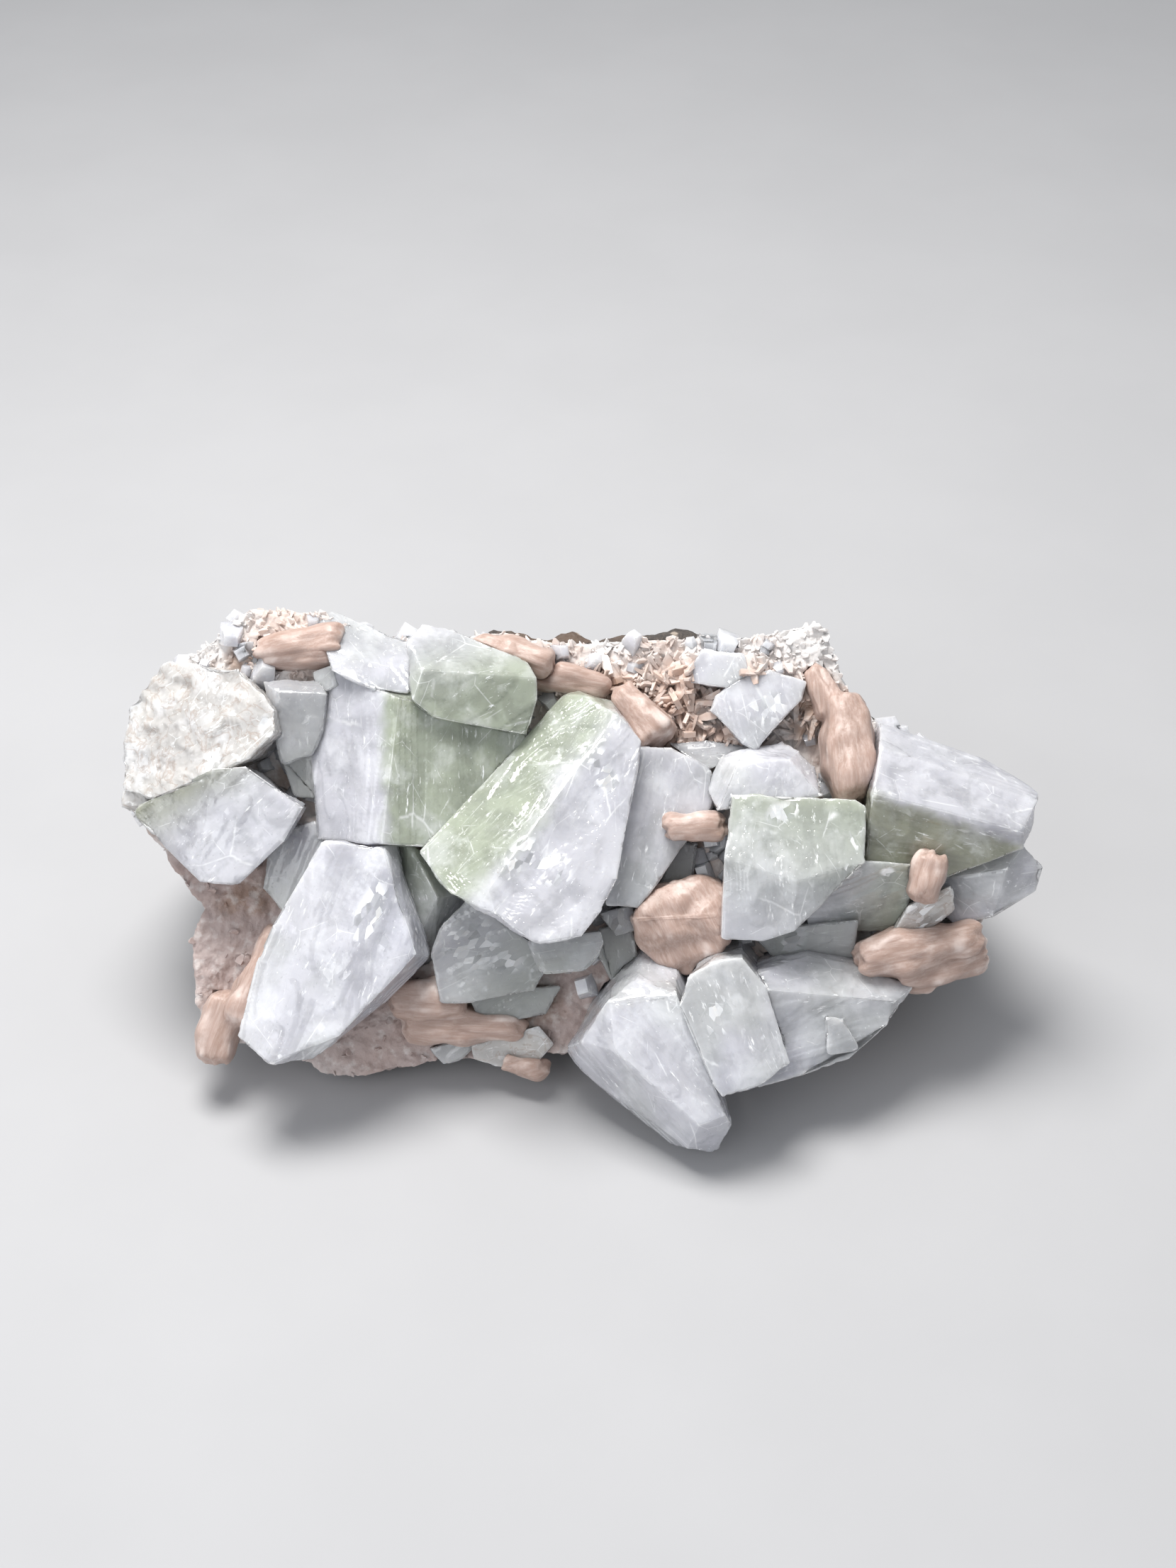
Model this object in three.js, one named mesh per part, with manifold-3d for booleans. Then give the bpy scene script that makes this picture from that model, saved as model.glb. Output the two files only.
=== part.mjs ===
// Apophyllite and stilbite cluster: glassy green and white crystals with peach sheaves, on a
// crust over a lump of dark basalt that is sawn flat underneath. Millimetres, +Z up.
import * as THREE from "three";
import { ConvexGeometry } from "three/addons/geometries/ConvexGeometry.js";
import { ConvexHull } from "three/addons/math/ConvexHull.js";
import { ImprovedNoise } from "three/addons/math/ImprovedNoise.js";
import { mergeVertices } from "three/addons/utils/BufferGeometryUtils.js";
import Module from "manifold-3d";

const wasm = await Module();
wasm.setup();

// Driving dimensions
const FACE_ELEVATION = THREE.MathUtils.degToRad(40); // the crystal face looks up by this much
const VIEW_DISTANCE = 520; // corners are written as they line up seen from here, square to the face
const BASE_DROP = 48.5; // height of the crystal face's middle over the sawn base
const GAP = 0.3; // left between pieces that touch
const ROOT = 4.5; // crystals and sheaves start this far out of the basalt slope
const COVER = 1.5; // the crust is thin where a crystal covers it by this much
const CRUST_STEP = 11; // spacing of the crust's corners
const CRUST_SPAN = { width: 209, height: 110, middle: [-2, -12] }; // sheet that the crust is cut from
const CRUST_LUMPS = [
  { perMm: 0.21, rise: 2.1 },
  { perMm: 0.47, rise: 1.25 },
];
const CRUST_FLOOR = 0.3; // underside of the crust, just clear of the basalt
const SLOPE_DEPTH = 0.5; // the basalt's slope lies this far under the crystal face's zero
const CREST_DROP = 5; // how far the basalt's crest lies behind the crust's top edge
const DOME = 1.2; // height of the domes on a sheaf's ends

// Finishes
const FINISHES = {
  basalt: { color: 0x4a4340, roughness: 0.9 },
  crust: { color: 0xcfc0b6, roughness: 0.75 },
  white: { color: 0xc6cad6, roughness: 0.25 },
  green: { color: 0x9fae98, roughness: 0.25 },
  clear: { color: 0xa9a6a4, roughness: 0.15 },
  stilbite: { color: 0xc4a08c, roughness: 0.5 },
};

// A point seen at x, y on the crystal face and standing w in front of it.
function seen(x, y, w) {
  const nearer = 1 - w / VIEW_DISTANCE;
  return new THREE.Vector3(x * nearer, y * nearer, w);
}

// The point seen at x, y that lies on a plane.
function seenOnPlane(x, y, plane) {
  const eye = new THREE.Vector3(0, 0, VIEW_DISTANCE);
  const sight = new THREE.Vector3(x, y, 0).sub(eye);
  const t = -plane.distanceToPoint(eye) / plane.normal.dot(sight);
  return eye.addScaledVector(sight, t);
}

// Corners of a crystal's seen faces. A face's first three corners fix its plane, with a height where
// the corner is new. The rest of its corners lie on that plane, or have a height of their own.
function faceCorners(faces) {
  const known = new Map();
  for (const face of faces) {
    const frame = face.slice(0, 3).map(([x, y, w]) => {
      const key = `${x},${y}`;
      if (!known.has(key)) known.set(key, seen(x, y, w));
      return known.get(key);
    });
    const plane = new THREE.Plane().setFromCoplanarPoints(...frame);
    for (const [x, y, w] of face.slice(3)) {
      const key = `${x},${y}`;
      if (!known.has(key)) known.set(key, w === undefined ? seenOnPlane(x, y, plane) : seen(x, y, w));
    }
  }
  return [...known.values()];
}

function geometryToManifold(geometry) {
  const bare = geometry.clone();
  bare.deleteAttribute("normal");
  bare.deleteAttribute("uv");
  const merged = mergeVertices(bare, 1e-4);
  const vertProperties = new Float32Array(merged.attributes.position.array);
  const triVerts = new Uint32Array(merged.index.array);
  return new wasm.Manifold(new wasm.Mesh({ numProp: 3, vertProperties, triVerts }));
}

function manifoldToGeometry(solid) {
  const mesh = solid.getMesh();
  const geometry = new THREE.BufferGeometry();
  geometry.setAttribute("position", new THREE.BufferAttribute(new Float32Array(mesh.vertProperties), 3));
  geometry.setIndex(new THREE.BufferAttribute(new Uint32Array(mesh.triVerts), 1));
  return geometry;
}

function hullPlanes(points) {
  const planes = [];
  for (const face of new ConvexHull().setFromPoints(points).faces) {
    const same = planes.some(
      (plane) => plane.normal.dot(face.normal) > 0.99999 && Math.abs(plane.constant + face.constant) < 0.02,
    );
    if (!same) planes.push(new THREE.Plane(face.normal.clone(), -face.constant));
  }
  return planes;
}

// Corners of the room inside a set of planes that all face outwards.
function planeCorners(planes) {
  const corners = [];
  const inverse = new THREE.Matrix3();
  for (let i = 0; i < planes.length; i += 1) {
    for (let j = i + 1; j < planes.length; j += 1) {
      for (let k = j + 1; k < planes.length; k += 1) {
        const [a, b, c] = [planes[i], planes[j], planes[k]];
        inverse.set(...a.normal.toArray(), ...b.normal.toArray(), ...c.normal.toArray());
        if (Math.abs(inverse.determinant()) < 1e-4) continue;
        inverse.invert();
        const corner = new THREE.Vector3(-a.constant, -b.constant, -c.constant).applyMatrix3(inverse);
        const inside = planes.every((plane) => plane.distanceToPoint(corner) < 1e-3);
        const fresh = corners.every((other) => other.distanceTo(corner) > 5e-3);
        if (inside && fresh) corners.push(corner);
      }
    }
  }
  return corners;
}

// A flat-faced body. Its planes move out by grow, and covers tells whether a point is well inside it.
function convex(points) {
  const planes = hullPlanes(points);
  const part = (grow) => {
    if (grow === 0) return geometryToManifold(new ConvexGeometry(points));
    const moved = planes.map((plane) => new THREE.Plane(plane.normal, plane.constant - grow));
    return geometryToManifold(new ConvexGeometry(planeCorners(moved)));
  };
  part.covers = (point) => planes.every((plane) => plane.distanceToPoint(point) < -COVER);
  return part;
}

// A crystal: its seen faces, and the same corners drawn in a little at the root.
function crystal(faces, { root = ROOT, taper = 0.9, lean = [0, 0] } = {}) {
  const front = faceCorners(faces);
  const middle = front.reduce((sum, p) => sum.add(p), new THREE.Vector3()).divideScalar(front.length);
  const back = front.map((p) => {
    const x = middle.x + (p.x - middle.x) * taper + lean[0];
    const y = middle.y + (p.y - middle.y) * taper + lean[1];
    return new THREE.Vector3(x, y, root);
  });
  return convex([...front, ...back]);
}

// A stilbite bundle: a ridged bar from one end to the other, with a width and a thickness at each of
// its stations, and low domes on its ends.
function bundle(from, to, widths, thickness, { roll = 0, sides = 8, ridge = 0.06 } = {}) {
  const start = seen(...from);
  const end = seen(...to);
  const axis = end.clone().sub(start);
  const length = axis.length();
  axis.normalize();
  const across = new THREE.Vector3(0, 0, 1).cross(axis).normalize();
  const up = axis.clone().cross(across).normalize();
  across.applyAxisAngle(axis, roll);
  up.applyAxisAngle(axis, roll);
  return (grow) => {
    const stations = [];
    const last = widths.length - 1;
    widths.forEach((width, i) => stations.push({ along: (length * i) / last, width }));
    stations[0].along -= grow;
    stations[last].along += grow;
    const positions = [];
    for (const { along, width } of stations) {
      for (let side = 0; side < sides; side += 1) {
        const angle = (2 * Math.PI * side) / sides;
        const swell = 1 + (side % 2 ? ridge : -ridge);
        const a = (width / 2) * swell + grow;
        const b = (thickness / 2) * swell * (0.7 + (0.3 * width) / widths[0]) + grow;
        const point = start.clone().addScaledVector(axis, along);
        point.addScaledVector(across, a * Math.cos(angle)).addScaledVector(up, b * Math.sin(angle));
        positions.push(point);
      }
    }
    const dome = Math.min(DOME, length * 0.08);
    positions.push(start.clone().addScaledVector(axis, stations[0].along - dome));
    positions.push(start.clone().addScaledVector(axis, stations[last].along + dome));
    return ringsToManifold(positions, stations.length, sides);
  };
}

// Rings of points along a body, closed by a point past each end.
function ringsToManifold(positions, rings, sides) {
  const index = [];
  for (let ring = 0; ring < rings - 1; ring += 1) {
    for (let side = 0; side < sides; side += 1) {
      const a = ring * sides + side;
      const b = ring * sides + ((side + 1) % sides);
      index.push(a, b, b + sides, a, b + sides, a + sides);
    }
  }
  const first = rings * sides;
  for (let side = 0; side < sides; side += 1) {
    const next = (side + 1) % sides;
    index.push(next, side, first);
    index.push((rings - 1) * sides + side, (rings - 1) * sides + next, first + 1);
  }
  const geometry = new THREE.BufferGeometry().setFromPoints(positions);
  geometry.setIndex(index);
  return geometryToManifold(geometry);
}

// A repeatable stream of numbers between 0 and 1.
function stream(seed) {
  let state = seed;
  return () => {
    state = (state * 16807) % 2147483647;
    return state / 2147483647;
  };
}

// The glassy crystals, biggest first. Each is cut by those before it where they have grown together.
const CRYSTALS = {
  long_green_crystal: {
    finish: "green",
    parts: [
      crystal([
        [[-21, -22.5, 31], [6, 14.5, 19.5], [0, 18, 15.5], [-28, -9.5], [-35.5, -14.5], [-29, -23]],
        [
          [-21, -22.5], [6, 14.5], [-11, -33.5, 32.5], [-19.5, -27.5],
          [-1.5, -32], [2.5, -27], [6, -20], [11, 9],
        ],
        [[-28, -9.5], [0, 18], [-12.5, 10, 15], [-34.5, -13.5], [-5, 18.5]],
        [[0, 18], [-2, 19.5, 11], [5, 17.5, 12]],
      ]),
    ],
  },
  kite_crystal: {
    finish: "white",
    parts: [
      crystal([
        [
          [-56, -12.5, 22], [-43.5, -13.5, 22.5], [-36.5, -36, 25], [-52.5, -53],
          [-67, -59], [-74, -53.5], [-70, -38], [-66.5, -30],
        ],
        [[-43.5, -13.5], [-36.5, -36], [-41, -13, 18], [-34, -36.5, 17.5]],
        [[-36.5, -36], [-52.5, -53], [-58.5, -58, 21], [-43.5, -46, 18]],
      ], { taper: 0.8, lean: [3, 2] }),
    ],
  },
  green_cap_crystal: {
    finish: "green",
    parts: [
      crystal([
        [[-35, 24, 24], [-11, 22.5, 18.5], [-13, 10.5, 18], [-28.5, 13.5], [-33, 14.5], [-37, 18], [-11, 18]],
        [
          [-35, 24], [-11, 22.5], [-35, 33.5, 15], [-28.5, 32.5],
          [-26, 31], [-38, 30], [-19.5, 27], [-13, 25.5],
        ],
      ]),
    ],
  },
  green_block_crystal: {
    finish: "green",
    parts: [
      crystal([
        [[-40, 18, 22], [-43.5, -12.5, 23], [-57, -11.5, 14.5], [-58.5, 7], [-55, 18.5], [-53.5, 23.5]],
        [[-40, 18], [-43.5, -12.5], [-13, 9.5, 14], [-30, -13.5], [-16, 16]],
      ]),
    ],
  },
  right_block_crystal: {
    finish: "green",
    parts: [
      crystal([
        [[30.5, -2.5, 24.5], [56.5, -3.5, 25], [29, -15.5, 28], [44, -20.5], [58.5, -16.5], [58.5, -5]],
        [[29, -15.5], [44, -20.5], [28.5, -32.5, 24], [37, -33], [43.5, -31]],
      ], { taper: 0.85 }),
    ],
  },
  slab_crystal: {
    finish: "white",
    parts: [
      crystal([
        [[5, -47, 25.5], [18.5, -44.5, 27], [29, -70, 29], [23.5, -72], [6, -56.5]],
        [[5, -47], [6, -56.5], [-1, -54.5, 22], [4.5, -46], [10.5, -41.5, 23]],
        [[29, -70], [23.5, -72], [21, -77, 23], [27, -77.5], [30, -72]],
        [[6, -56.5], [23.5, -72], [-4, -56, 14], [-2.5, -59, 13], [15, -72.5, 16], [18, -76, 17]],
      ], { root: 6, taper: 0.75, lean: [2, 12] }),
    ],
  },
  low_block_crystal: {
    finish: "white",
    parts: [
      crystal([
        [
          [19.5, -47, 30], [26.5, -38, 27], [42.5, -59, 27.5], [32.5, -37], [37.5, -43], [37, -63],
          [31.5, -65], [28.5, -66], [26.5, -63.5], [22, -52.5], [21.5, -41],
        ],
      ], { taper: 0.7, lean: [2, 8] }),
    ],
  },
  low_tablet_crystal: {
    finish: "white",
    parts: [
      crystal([
        [[38, -43.5, 25], [65, -46, 20], [46.5, -36.5, 17], [56, -38.5], [68.5, -43], [34, -41]],
        [[38, -43.5], [65, -46], [45, -61.5, 20], [36, -64], [55, -58], [63, -51]],
      ], { taper: 0.75, lean: [0, 6] }),
      crystal([[[50.5, -49.5, 24], [54, -50, 23], [57, -56, 20.5], [51, -57]]], { root: 10 }),
    ],
  },
  right_small_crystal: {
    finish: "green",
    parts: [
      crystal([[[45, -21, 22], [58.5, -16.5, 25], [68, -17, 24], [68, -24.5], [63.5, -31], [47, -30.5]]]),
    ],
  },
  east_prism_crystal: {
    finish: "green",
    parts: [
      crystal([
        [[60.5, -2, 26], [91.5, -10, 24], [62, 7.5, 21], [77.5, 2], [95, -3.5]],
        [[62, 7.5], [77.5, 2], [62, 12.5, 12], [70.5, 9.5], [83.5, 5], [90.5, 1], [95, -2]],
        [[60.5, -2], [91.5, -10], [59, -17, 19], [92, -13.5], [68, -17.5], [76, -19.5]],
      ], { taper: 0.8, lean: [-4, 0] }),
    ],
  },
  east_point_crystal: {
    finish: "white",
    parts: [
      crystal([
        [[88.5, -18, 20], [92, -13.5, 19], [75, -20, 15], [85.5, -15]],
        [[88.5, -18], [92, -13.5], [96, -17.5, 15.5]],
        [[88.5, -18], [96, -17.5], [94.5, -22.5, 13], [85.5, -28]],
        [[88.5, -18], [85.5, -28], [77.5, -29.5, 11.5], [74, -25.5]],
      ], { taper: 0.75, lean: [-5, 2] }),
    ],
  },
  pearly_end_crystal: {
    finish: "white",
    parts: [
      crystal([
        [[-98.5, 4.5, 9], [-81, 25, 13.5], [-80, 2, 19.5], [-97, 16], [-89.5, 25.5], [-92, -3], [-98, -1]],
        [[-81, 25], [-80, 2], [-66.5, 11, 20.5], [-74, 24], [-66.5, 15.5], [-72, 5.5]],
      ], { taper: 0.88, lean: [3, 0] }),
      crystal([
        [[-98.5, -4.5, 9], [-94, 0, 10], [-93, -5, 12], [-96, -8, 9], [-98, -1, 8.5]],
      ], { lean: [2, 1] }),
    ],
  },
  olive_wedge_crystal: {
    finish: "green",
    parts: [
      crystal([
        [[-79.5, 3, 20.5], [-60.5, -5, 21.5], [-74, -21, 19], [-72.5, 3.5], [-64.5, -12], [-82, -20.5]],
        [
          [-79.5, 3], [-82, -20.5], [-95.5, -5, 12], [-88.5, -2],
          [-86, -16], [-87, -12], [-91, -11.5], [-96, -6.5],
        ],
      ], { taper: 0.82, lean: [2, 1] }),
    ],
  },
  white_flank_crystal: {
    finish: "white",
    parts: [
      crystal([
        [
          [7, 7.5, 18], [26, -4.5, 14.5], [10.5, -26, 20], [17.5, 7.5],
          [25.5, 3], [19, -12.5], [15, -20], [4, -25.5],
        ],
      ]),
    ],
  },
  pale_block_crystal: {
    finish: "white",
    parts: [
      crystal([
        [[31.5, 4, 19], [42.5, 5, 18.5], [34.5, -3.5, 20.5], [49.5, -2.5], [27.5, -5.5]],
        [[31.5, 4], [42.5, 5], [35, 7.5, 13], [41, 9], [44.5, 7]],
        [[42.5, 5], [49.5, -2.5], [44.5, 7], [48, 3.5]],
        [[31.5, 4], [27.5, -5.5], [25.5, -0.5, 14], [28.5, 5.5]],
      ]),
    ],
  },
  white_shoulder_crystal: {
    finish: "white",
    parts: [
      crystal([
        [[-49, 24, 17], [-45, 30.5, 11], [-38, 18.5, 19], [-38, 30], [-41, 18]],
        [[-49, 24], [-45, 30.5], [-53.5, 36, 7], [-49.5, 33.5], [-57.5, 35], [-54, 24]],
      ]),
    ],
  },
  clear_tablet_crystal: {
    finish: "clear",
    parts: [
      crystal([
        [[-12.5, -33.5, 21], [2.5, -31.5, 21], [-9.5, -39.5, 21.5], [3, -33.5], [1.5, -36.5], [-1, -39]],
      ], { root: 12 }),
    ],
  },
  olive_keel_crystal: {
    finish: "green",
    parts: [
      crystal([
        [[-37.5, -13.5, 17], [-32, -24, 18], [-41, -13, 12], [-33, -40], [-40, -44]],
        [[-37.5, -13.5], [-32, -24], [-28, -23.5, 13], [-35, -15]],
        [[-32, -24], [-28, -23.5], [-33, -40], [-25, -25], [-31, -34]],
      ]),
    ],
  },
  fractured_clear_crystal: {
    finish: "clear",
    parts: [
      crystal([
        [
          [-25.5, -24.5, 18.5], [-9.5, -40, 16], [-31, -46, 16], [-12.5, -33.5], [-11.5, -43.5],
          [-25.5, -46], [-32, -41.5], [-33, -36.5], [-30.5, -30],
        ],
      ]),
      crystal([[[-25.5, -44, 11.5], [-6, -43, 10.5], [-19, -50.5, 10], [-23.5, -48.5], [-9, -48.5]]]),
    ],
  },
  small_clear_crystal: {
    finish: "clear",
    parts: [
      crystal([[[2.5, -27.5, 16], [9, -26, 15], [10.5, -30.5, 15], [6, -32]]]),
      crystal([[[2.5, -31, 12], [9, -29, 12], [11, -40.5, 11], [5, -41.5], [2.5, -36]]]),
    ],
  },
  diamond_crystal: {
    finish: "white",
    parts: [
      crystal([
        [
          [38.5, 24, 12], [46, 21.5, 12.5], [35.5, 7.5, 14], [33, 22.5],
          [26, 15.5], [27, 18.5], [45, 18], [33, 9],
        ],
      ], { taper: 0.95 }),
    ],
  },
  rim_plate_crystal: {
    finish: "white",
    parts: [
      crystal([[[24.5, 28.5, 10.5], [33, 27, 11], [30.5, 20.5, 12.5], [34, 23], [22, 21.5], [21.5, 24]]]),
    ],
  },
  grey_block_crystal: {
    finish: "clear",
    parts: [
      crystal([
        [[-66, 19.5, 16], [-55.5, 19, 15.5], [-58.5, 6.5, 13.5], [-56.5, 11.5], [-64.5, 4.5], [-66.5, 14]],
        [[-66, 19.5], [-55.5, 19], [-57.5, 21.5, 12], [-68.5, 21.5]],
      ]),
      crystal([[[-64.5, 5, 11], [-58, 7, 11], [-57.5, -3, 9.5], [-62, -2.5]]]),
    ],
  },
  grey_blade_crystal: {
    finish: "clear",
    parts: [
      crystal([
        [
          [-64.5, -10, 12.5], [-57.5, -8, 13.5], [-60, -20.5, 12.5],
          [-56, -12], [-64, -27], [-68.5, -22], [-67.5, -15],
        ],
      ]),
    ],
  },
  ledge_crystal: {
    finish: "clear",
    parts: [crystal([[[35, -31.5, 16], [57, -29, 17], [56, -36.5, 13], [40, -37]]])],
  },
  pearly_patch_crystal: {
    finish: "white",
    parts: [
      crystal([[[64.5, -32, 16], [72.5, -24, 20], [77.5, -27, 17], [68, -26], [77, -22], [71, -31.5]]]),
    ],
  },
  clear_sliver_crystal: {
    finish: "clear",
    parts: [crystal([[[17.5, 8.5, 10], [34, 8, 10], [27.5, 4, 13], [25, 9], [24.5, 3]]])],
  },
  smoky_crystal: {
    finish: "clear",
    parts: [crystal([[[18.5, -12.5, 9], [23, -12.5, 9], [14.5, -22.5, 9], [22, -20.5]]])],
  },
  clear_chip_crystal: {
    finish: "clear",
    parts: [crystal([[[-58, 23.5, 12], [-54, 25, 13], [-57, 19, 13.5], [-53, 21]]])],
  },
  pink_tablet_crystal: {
    finish: "white",
    parts: [
      crystal([
        [
          [-24.5, -55.5, 8], [-12.5, -53, 9], [-19.5, -59.5, 6.5],
          [-10.5, -51.5], [-7.5, -55], [-12, -60], [-24, -58],
        ],
      ]),
    ],
  },
  foot_crystal: {
    finish: "clear",
    parts: [crystal([[[-33.5, -56, 7], [-27, -54.5, 8], [-30.5, -59, 6.5], [-24.5, -55.5], [-27, -58]]])],
  },
};

// The peach stilbite, each sheaf one or more bundles grown together.
const SHEAVES = {
  centre_sheaf: [
    crystal([
      [
        [12, -23.5, 19], [29, -28, 21], [9.5, -29, 20.5],
        [15, -22, 19], [25, -19.5, 17], [28.5, -21, 17],
      ],
    ], { root: 6, taper: 0.92 }),
    crystal([
      [
        [9, -28.5, 20.5], [28.5, -27.5, 21], [22.5, -41, 16.5],
        [30, -33.5, 20], [18, -41, 16.5], [11, -34.5, 18],
      ],
    ], { root: 6, taper: 0.9, lean: [0, 1.5] }),
  ],
  saddle_sheaf: [bundle([17, -9.5, 18.5], [28, -8.5, 19], [6, 5.4, 6.4], 7)],
  tall_sheaf: [
    bundle([54.5, 17.5, 9], [55.5, -3, 15.5], [8, 11.5, 11.5, 7], 13),
    bundle([47.5, 24, 8], [52, 15, 10], [5, 8], 8),
  ],
  fan_sheaf: [bundle([7.5, 19, 9], [14.5, 9.5, 13], [6, 9, 11], 9)],
  rim_sheaf: [bundle([-23, 30, 8.5], [-8, 24.5, 10.5], [4, 7.5, 7], 8)],
  hollow_sheaf: [bundle([-12, 24, 8.5], [4, 20.5, 8], [6, 7, 5], 7)],
  crown_sheaf: [bundle([-69, 27.5, 9], [-52.5, 29.5, 10], [7.5, 8.5, 10], 9)],
  prism_sheaf: [bundle([73, -15, 23.5], [70.5, -24, 22.5], [6, 8, 6.5], 8)],
  right_foot_sheaf: [
    bundle([57.5, -37, 16], [82, -32.5, 12.5], [7, 11, 9, 7], 12),
    bundle([65, -40, 13.5], [82.5, -35.5, 10.5], [7, 9.5, 8], 11),
    bundle([60.5, -39.5, 13], [72, -41.5, 11], [5, 7, 6], 9),
  ],
  low_centre_sheaf: [
    bundle([-41, -46, 10], [-27, -45, 11], [8, 9.5, 8], 9),
    bundle([-38, -50.5, 9], [-14, -51.5, 8], [8, 9, 7, 6], 8),
  ],
  left_foot_sheaf: [
    bundle([-66.5, -31, 9.5], [-74, -50, 11], [3.5, 5.5, 7.5], 8),
    bundle([-76, -45, 9], [-79.5, -58, 9.5], [8, 9.5, 8], 9),
  ],
  tail_sheaf: [bundle([-18, -58.5, 6.5], [-9.5, -60.5, 6.5], [4, 5.5, 4.5], 5)],
};

// The crust's edge, and how far it stands out at some of its spots
const CRUST_EDGE = [
  [-79.5, 28.5], [-74, 33.5], [-70, 36.3], [-65, 35.8], [-56, 35.5], [-49.5, 33], [-45, 30.3],
  [-37.5, 30.2], [-26, 30.5], [-17.5, 31.5], [-12, 30], [-5, 29], [6, 29.6], [19.5, 30],
  [25.5, 30.5], [34.5, 30.2], [40.5, 31.7], [47.8, 33.3], [50, 29.5], [51.5, 24.5], [54, 19],
  [58.5, 14], [69, 9], [79, 2], [84, -8], [86, -18], [83, -27], [79, -33],
  [73, -38], [65, -43], [55, -48], [43, -52], [30, -53], [16, -50], [6, -52],
  [0, -55], [-5, -56.5], [-10, -56], [-20, -57.5], [-30, -57.5], [-40, -59.5], [-49.5, -61],
  [-55, -60.5], [-60, -57], [-68, -54], [-76, -54], [-80, -50], [-81.5, -45], [-82, -38],
  [-82.5, -33], [-80, -26], [-84.5, -20], [-88, -14], [-92, -10], [-94, -4], [-93.5, 4],
  [-93, 13], [-88, 22], [-83.5, 26],
];
const CRUST_SPOTS = [
  [-74, 33, 9], [-60, 34, 9], [-50, 32, 9], [-38, 29, 8], [-20, 30, 8], [-8, 28, 8.5],
  [12, 28.5, 9], [28, 29, 8.5], [40, 31, 9.5], [49, 32, 10], [50, 22, 9], [57, 15, 9],
  [0, 24, 6.5], [16, 22, 7], [22, 14, 5.5], [40, 12, 5], [46, 6, 5.5], [48, 15, 7],
  [75, 5, 7], [-64, -1, 5.5], [-90, 0, 7], [-86, -17, 8.5], [-72, -24, 6], [-79, -30, 8.5],
  [-80, -42, 9], [-72, -38, 7.5], [-50, -56, 6.5], [-30, -54, 6], [-5, -53, 7], [4, -45, 8],
  [16, -46, 8], [40, -38, 9], [60, -40, 9], [80, -30, 9], [30, -12, 6], [-50, 0, 6],
  [0, 0, 6],
];

// Height of the crust: a blend of its spots, with lumps on top, and everywhere over the root plane.
const noise = new ImprovedNoise();
function crustHeight(x, y) {
  let sum = 0;
  let weights = 0;
  for (const [spotX, spotY, height] of CRUST_SPOTS) {
    const weight = 1 / ((x - spotX) ** 2 + (y - spotY) ** 2 + 4) ** 1.5;
    sum += height * weight;
    weights += weight;
  }
  const lump = CRUST_LUMPS.reduce(
    (height, { perMm, rise }) => height + rise * noise.noise(x * perMm, y * perMm, 20 * perMm),
    0,
  );
  return Math.max(sum / weights + lump, ROOT + GAP);
}

// Whether a crystal hides the crust at x, y
function covered(x, y) {
  const point = new THREE.Vector3(x, y, ROOT + 1.3 * COVER);
  return Object.values(CRYSTALS).some(({ parts }) => parts.some((part) => part.covers(point)));
}

// The crust: a box whose top is pulled into shape, cut to the crust's edge.
function crustSolid() {
  const { width, height, middle } = CRUST_SPAN;
  const depth = 20;
  const block = new THREE.BoxGeometry(width, height, depth, width / CRUST_STEP, height / CRUST_STEP, 1);
  block.translate(middle[0], middle[1], 0);
  const corners = block.attributes.position;
  const jolts = new Map();
  const random = stream(41);
  for (let i = 0; i < corners.count; i += 1) {
    const spot = `${corners.getX(i)},${corners.getY(i)}`;
    if (!jolts.has(spot)) jolts.set(spot, [random() - 0.5, random() - 0.5]);
    const [joltX, joltY] = jolts.get(spot);
    const x = corners.getX(i) + (joltX * CRUST_STEP) / 2;
    const y = corners.getY(i) + (joltY * CRUST_STEP) / 2;
    const top = covered(x, y) ? ROOT - GAP : crustHeight(x, y);
    corners.setXYZ(i, x, y, corners.getZ(i) > 0 ? top : -depth / 2);
  }
  const edge = new THREE.Shape(CRUST_EDGE.map(([x, y]) => new THREE.Vector2(x, y)));
  const outline = new THREE.ExtrudeGeometry(edge, { depth: 2 * depth, bevelEnabled: false });
  outline.translate(0, 0, CRUST_FLOOR);
  return geometryToManifold(block).intersect(geometryToManifold(outline));
}

// Small stilbite blades that stand on the crust in the hollow at the top and along its bare parts.
const BLADE_FIELDS = [
  { from: [-6, 17], to: [48, 27], count: 18, length: 7 },
  { from: [18, 9], to: [50, 18], count: 8, length: 8 },
  { from: [-81, -48], to: [-70, -28], count: 2, length: 6 },
  { from: [-2, -52], to: [18, -44], count: 2, length: 5 },
];

// A blade's corners for a length of 1
const BLADE_CORNERS = [
  [-0.5, 0.2, 0], [-0.5, -0.2, 0], [0.35, 0.3, 0.15], [0.35, -0.3, 0.15], [0.55, 0, 0], [0.35, 0, -0.17],
];

function bladeSolids() {
  const random = stream(77);
  const blades = [];
  for (const field of BLADE_FIELDS) {
    for (let i = 0; i < field.count; i += 1) {
      const x = field.from[0] + random() * (field.to[0] - field.from[0]);
      const y = field.from[1] + random() * (field.to[1] - field.from[1]);
      const length = field.length * THREE.MathUtils.lerp(0.7, 1.3, random());
      const turn = random() * Math.PI * 2;
      const pitch = THREE.MathUtils.lerp(0.25, 0.95, random());
      const blade = BLADE_CORNERS.map((corner) => new THREE.Vector3(...corner).multiplyScalar(length));
      const tilt = new THREE.Euler(0, -pitch, turn, "ZYX");
      const foot = new THREE.Vector3(x, y, crustHeight(x, y) + 0.5);
      blades.push(geometryToManifold(new ConvexGeometry(blade.map((p) => p.applyEuler(tilt).add(foot)))));
    }
  }
  return blades;
}

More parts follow.
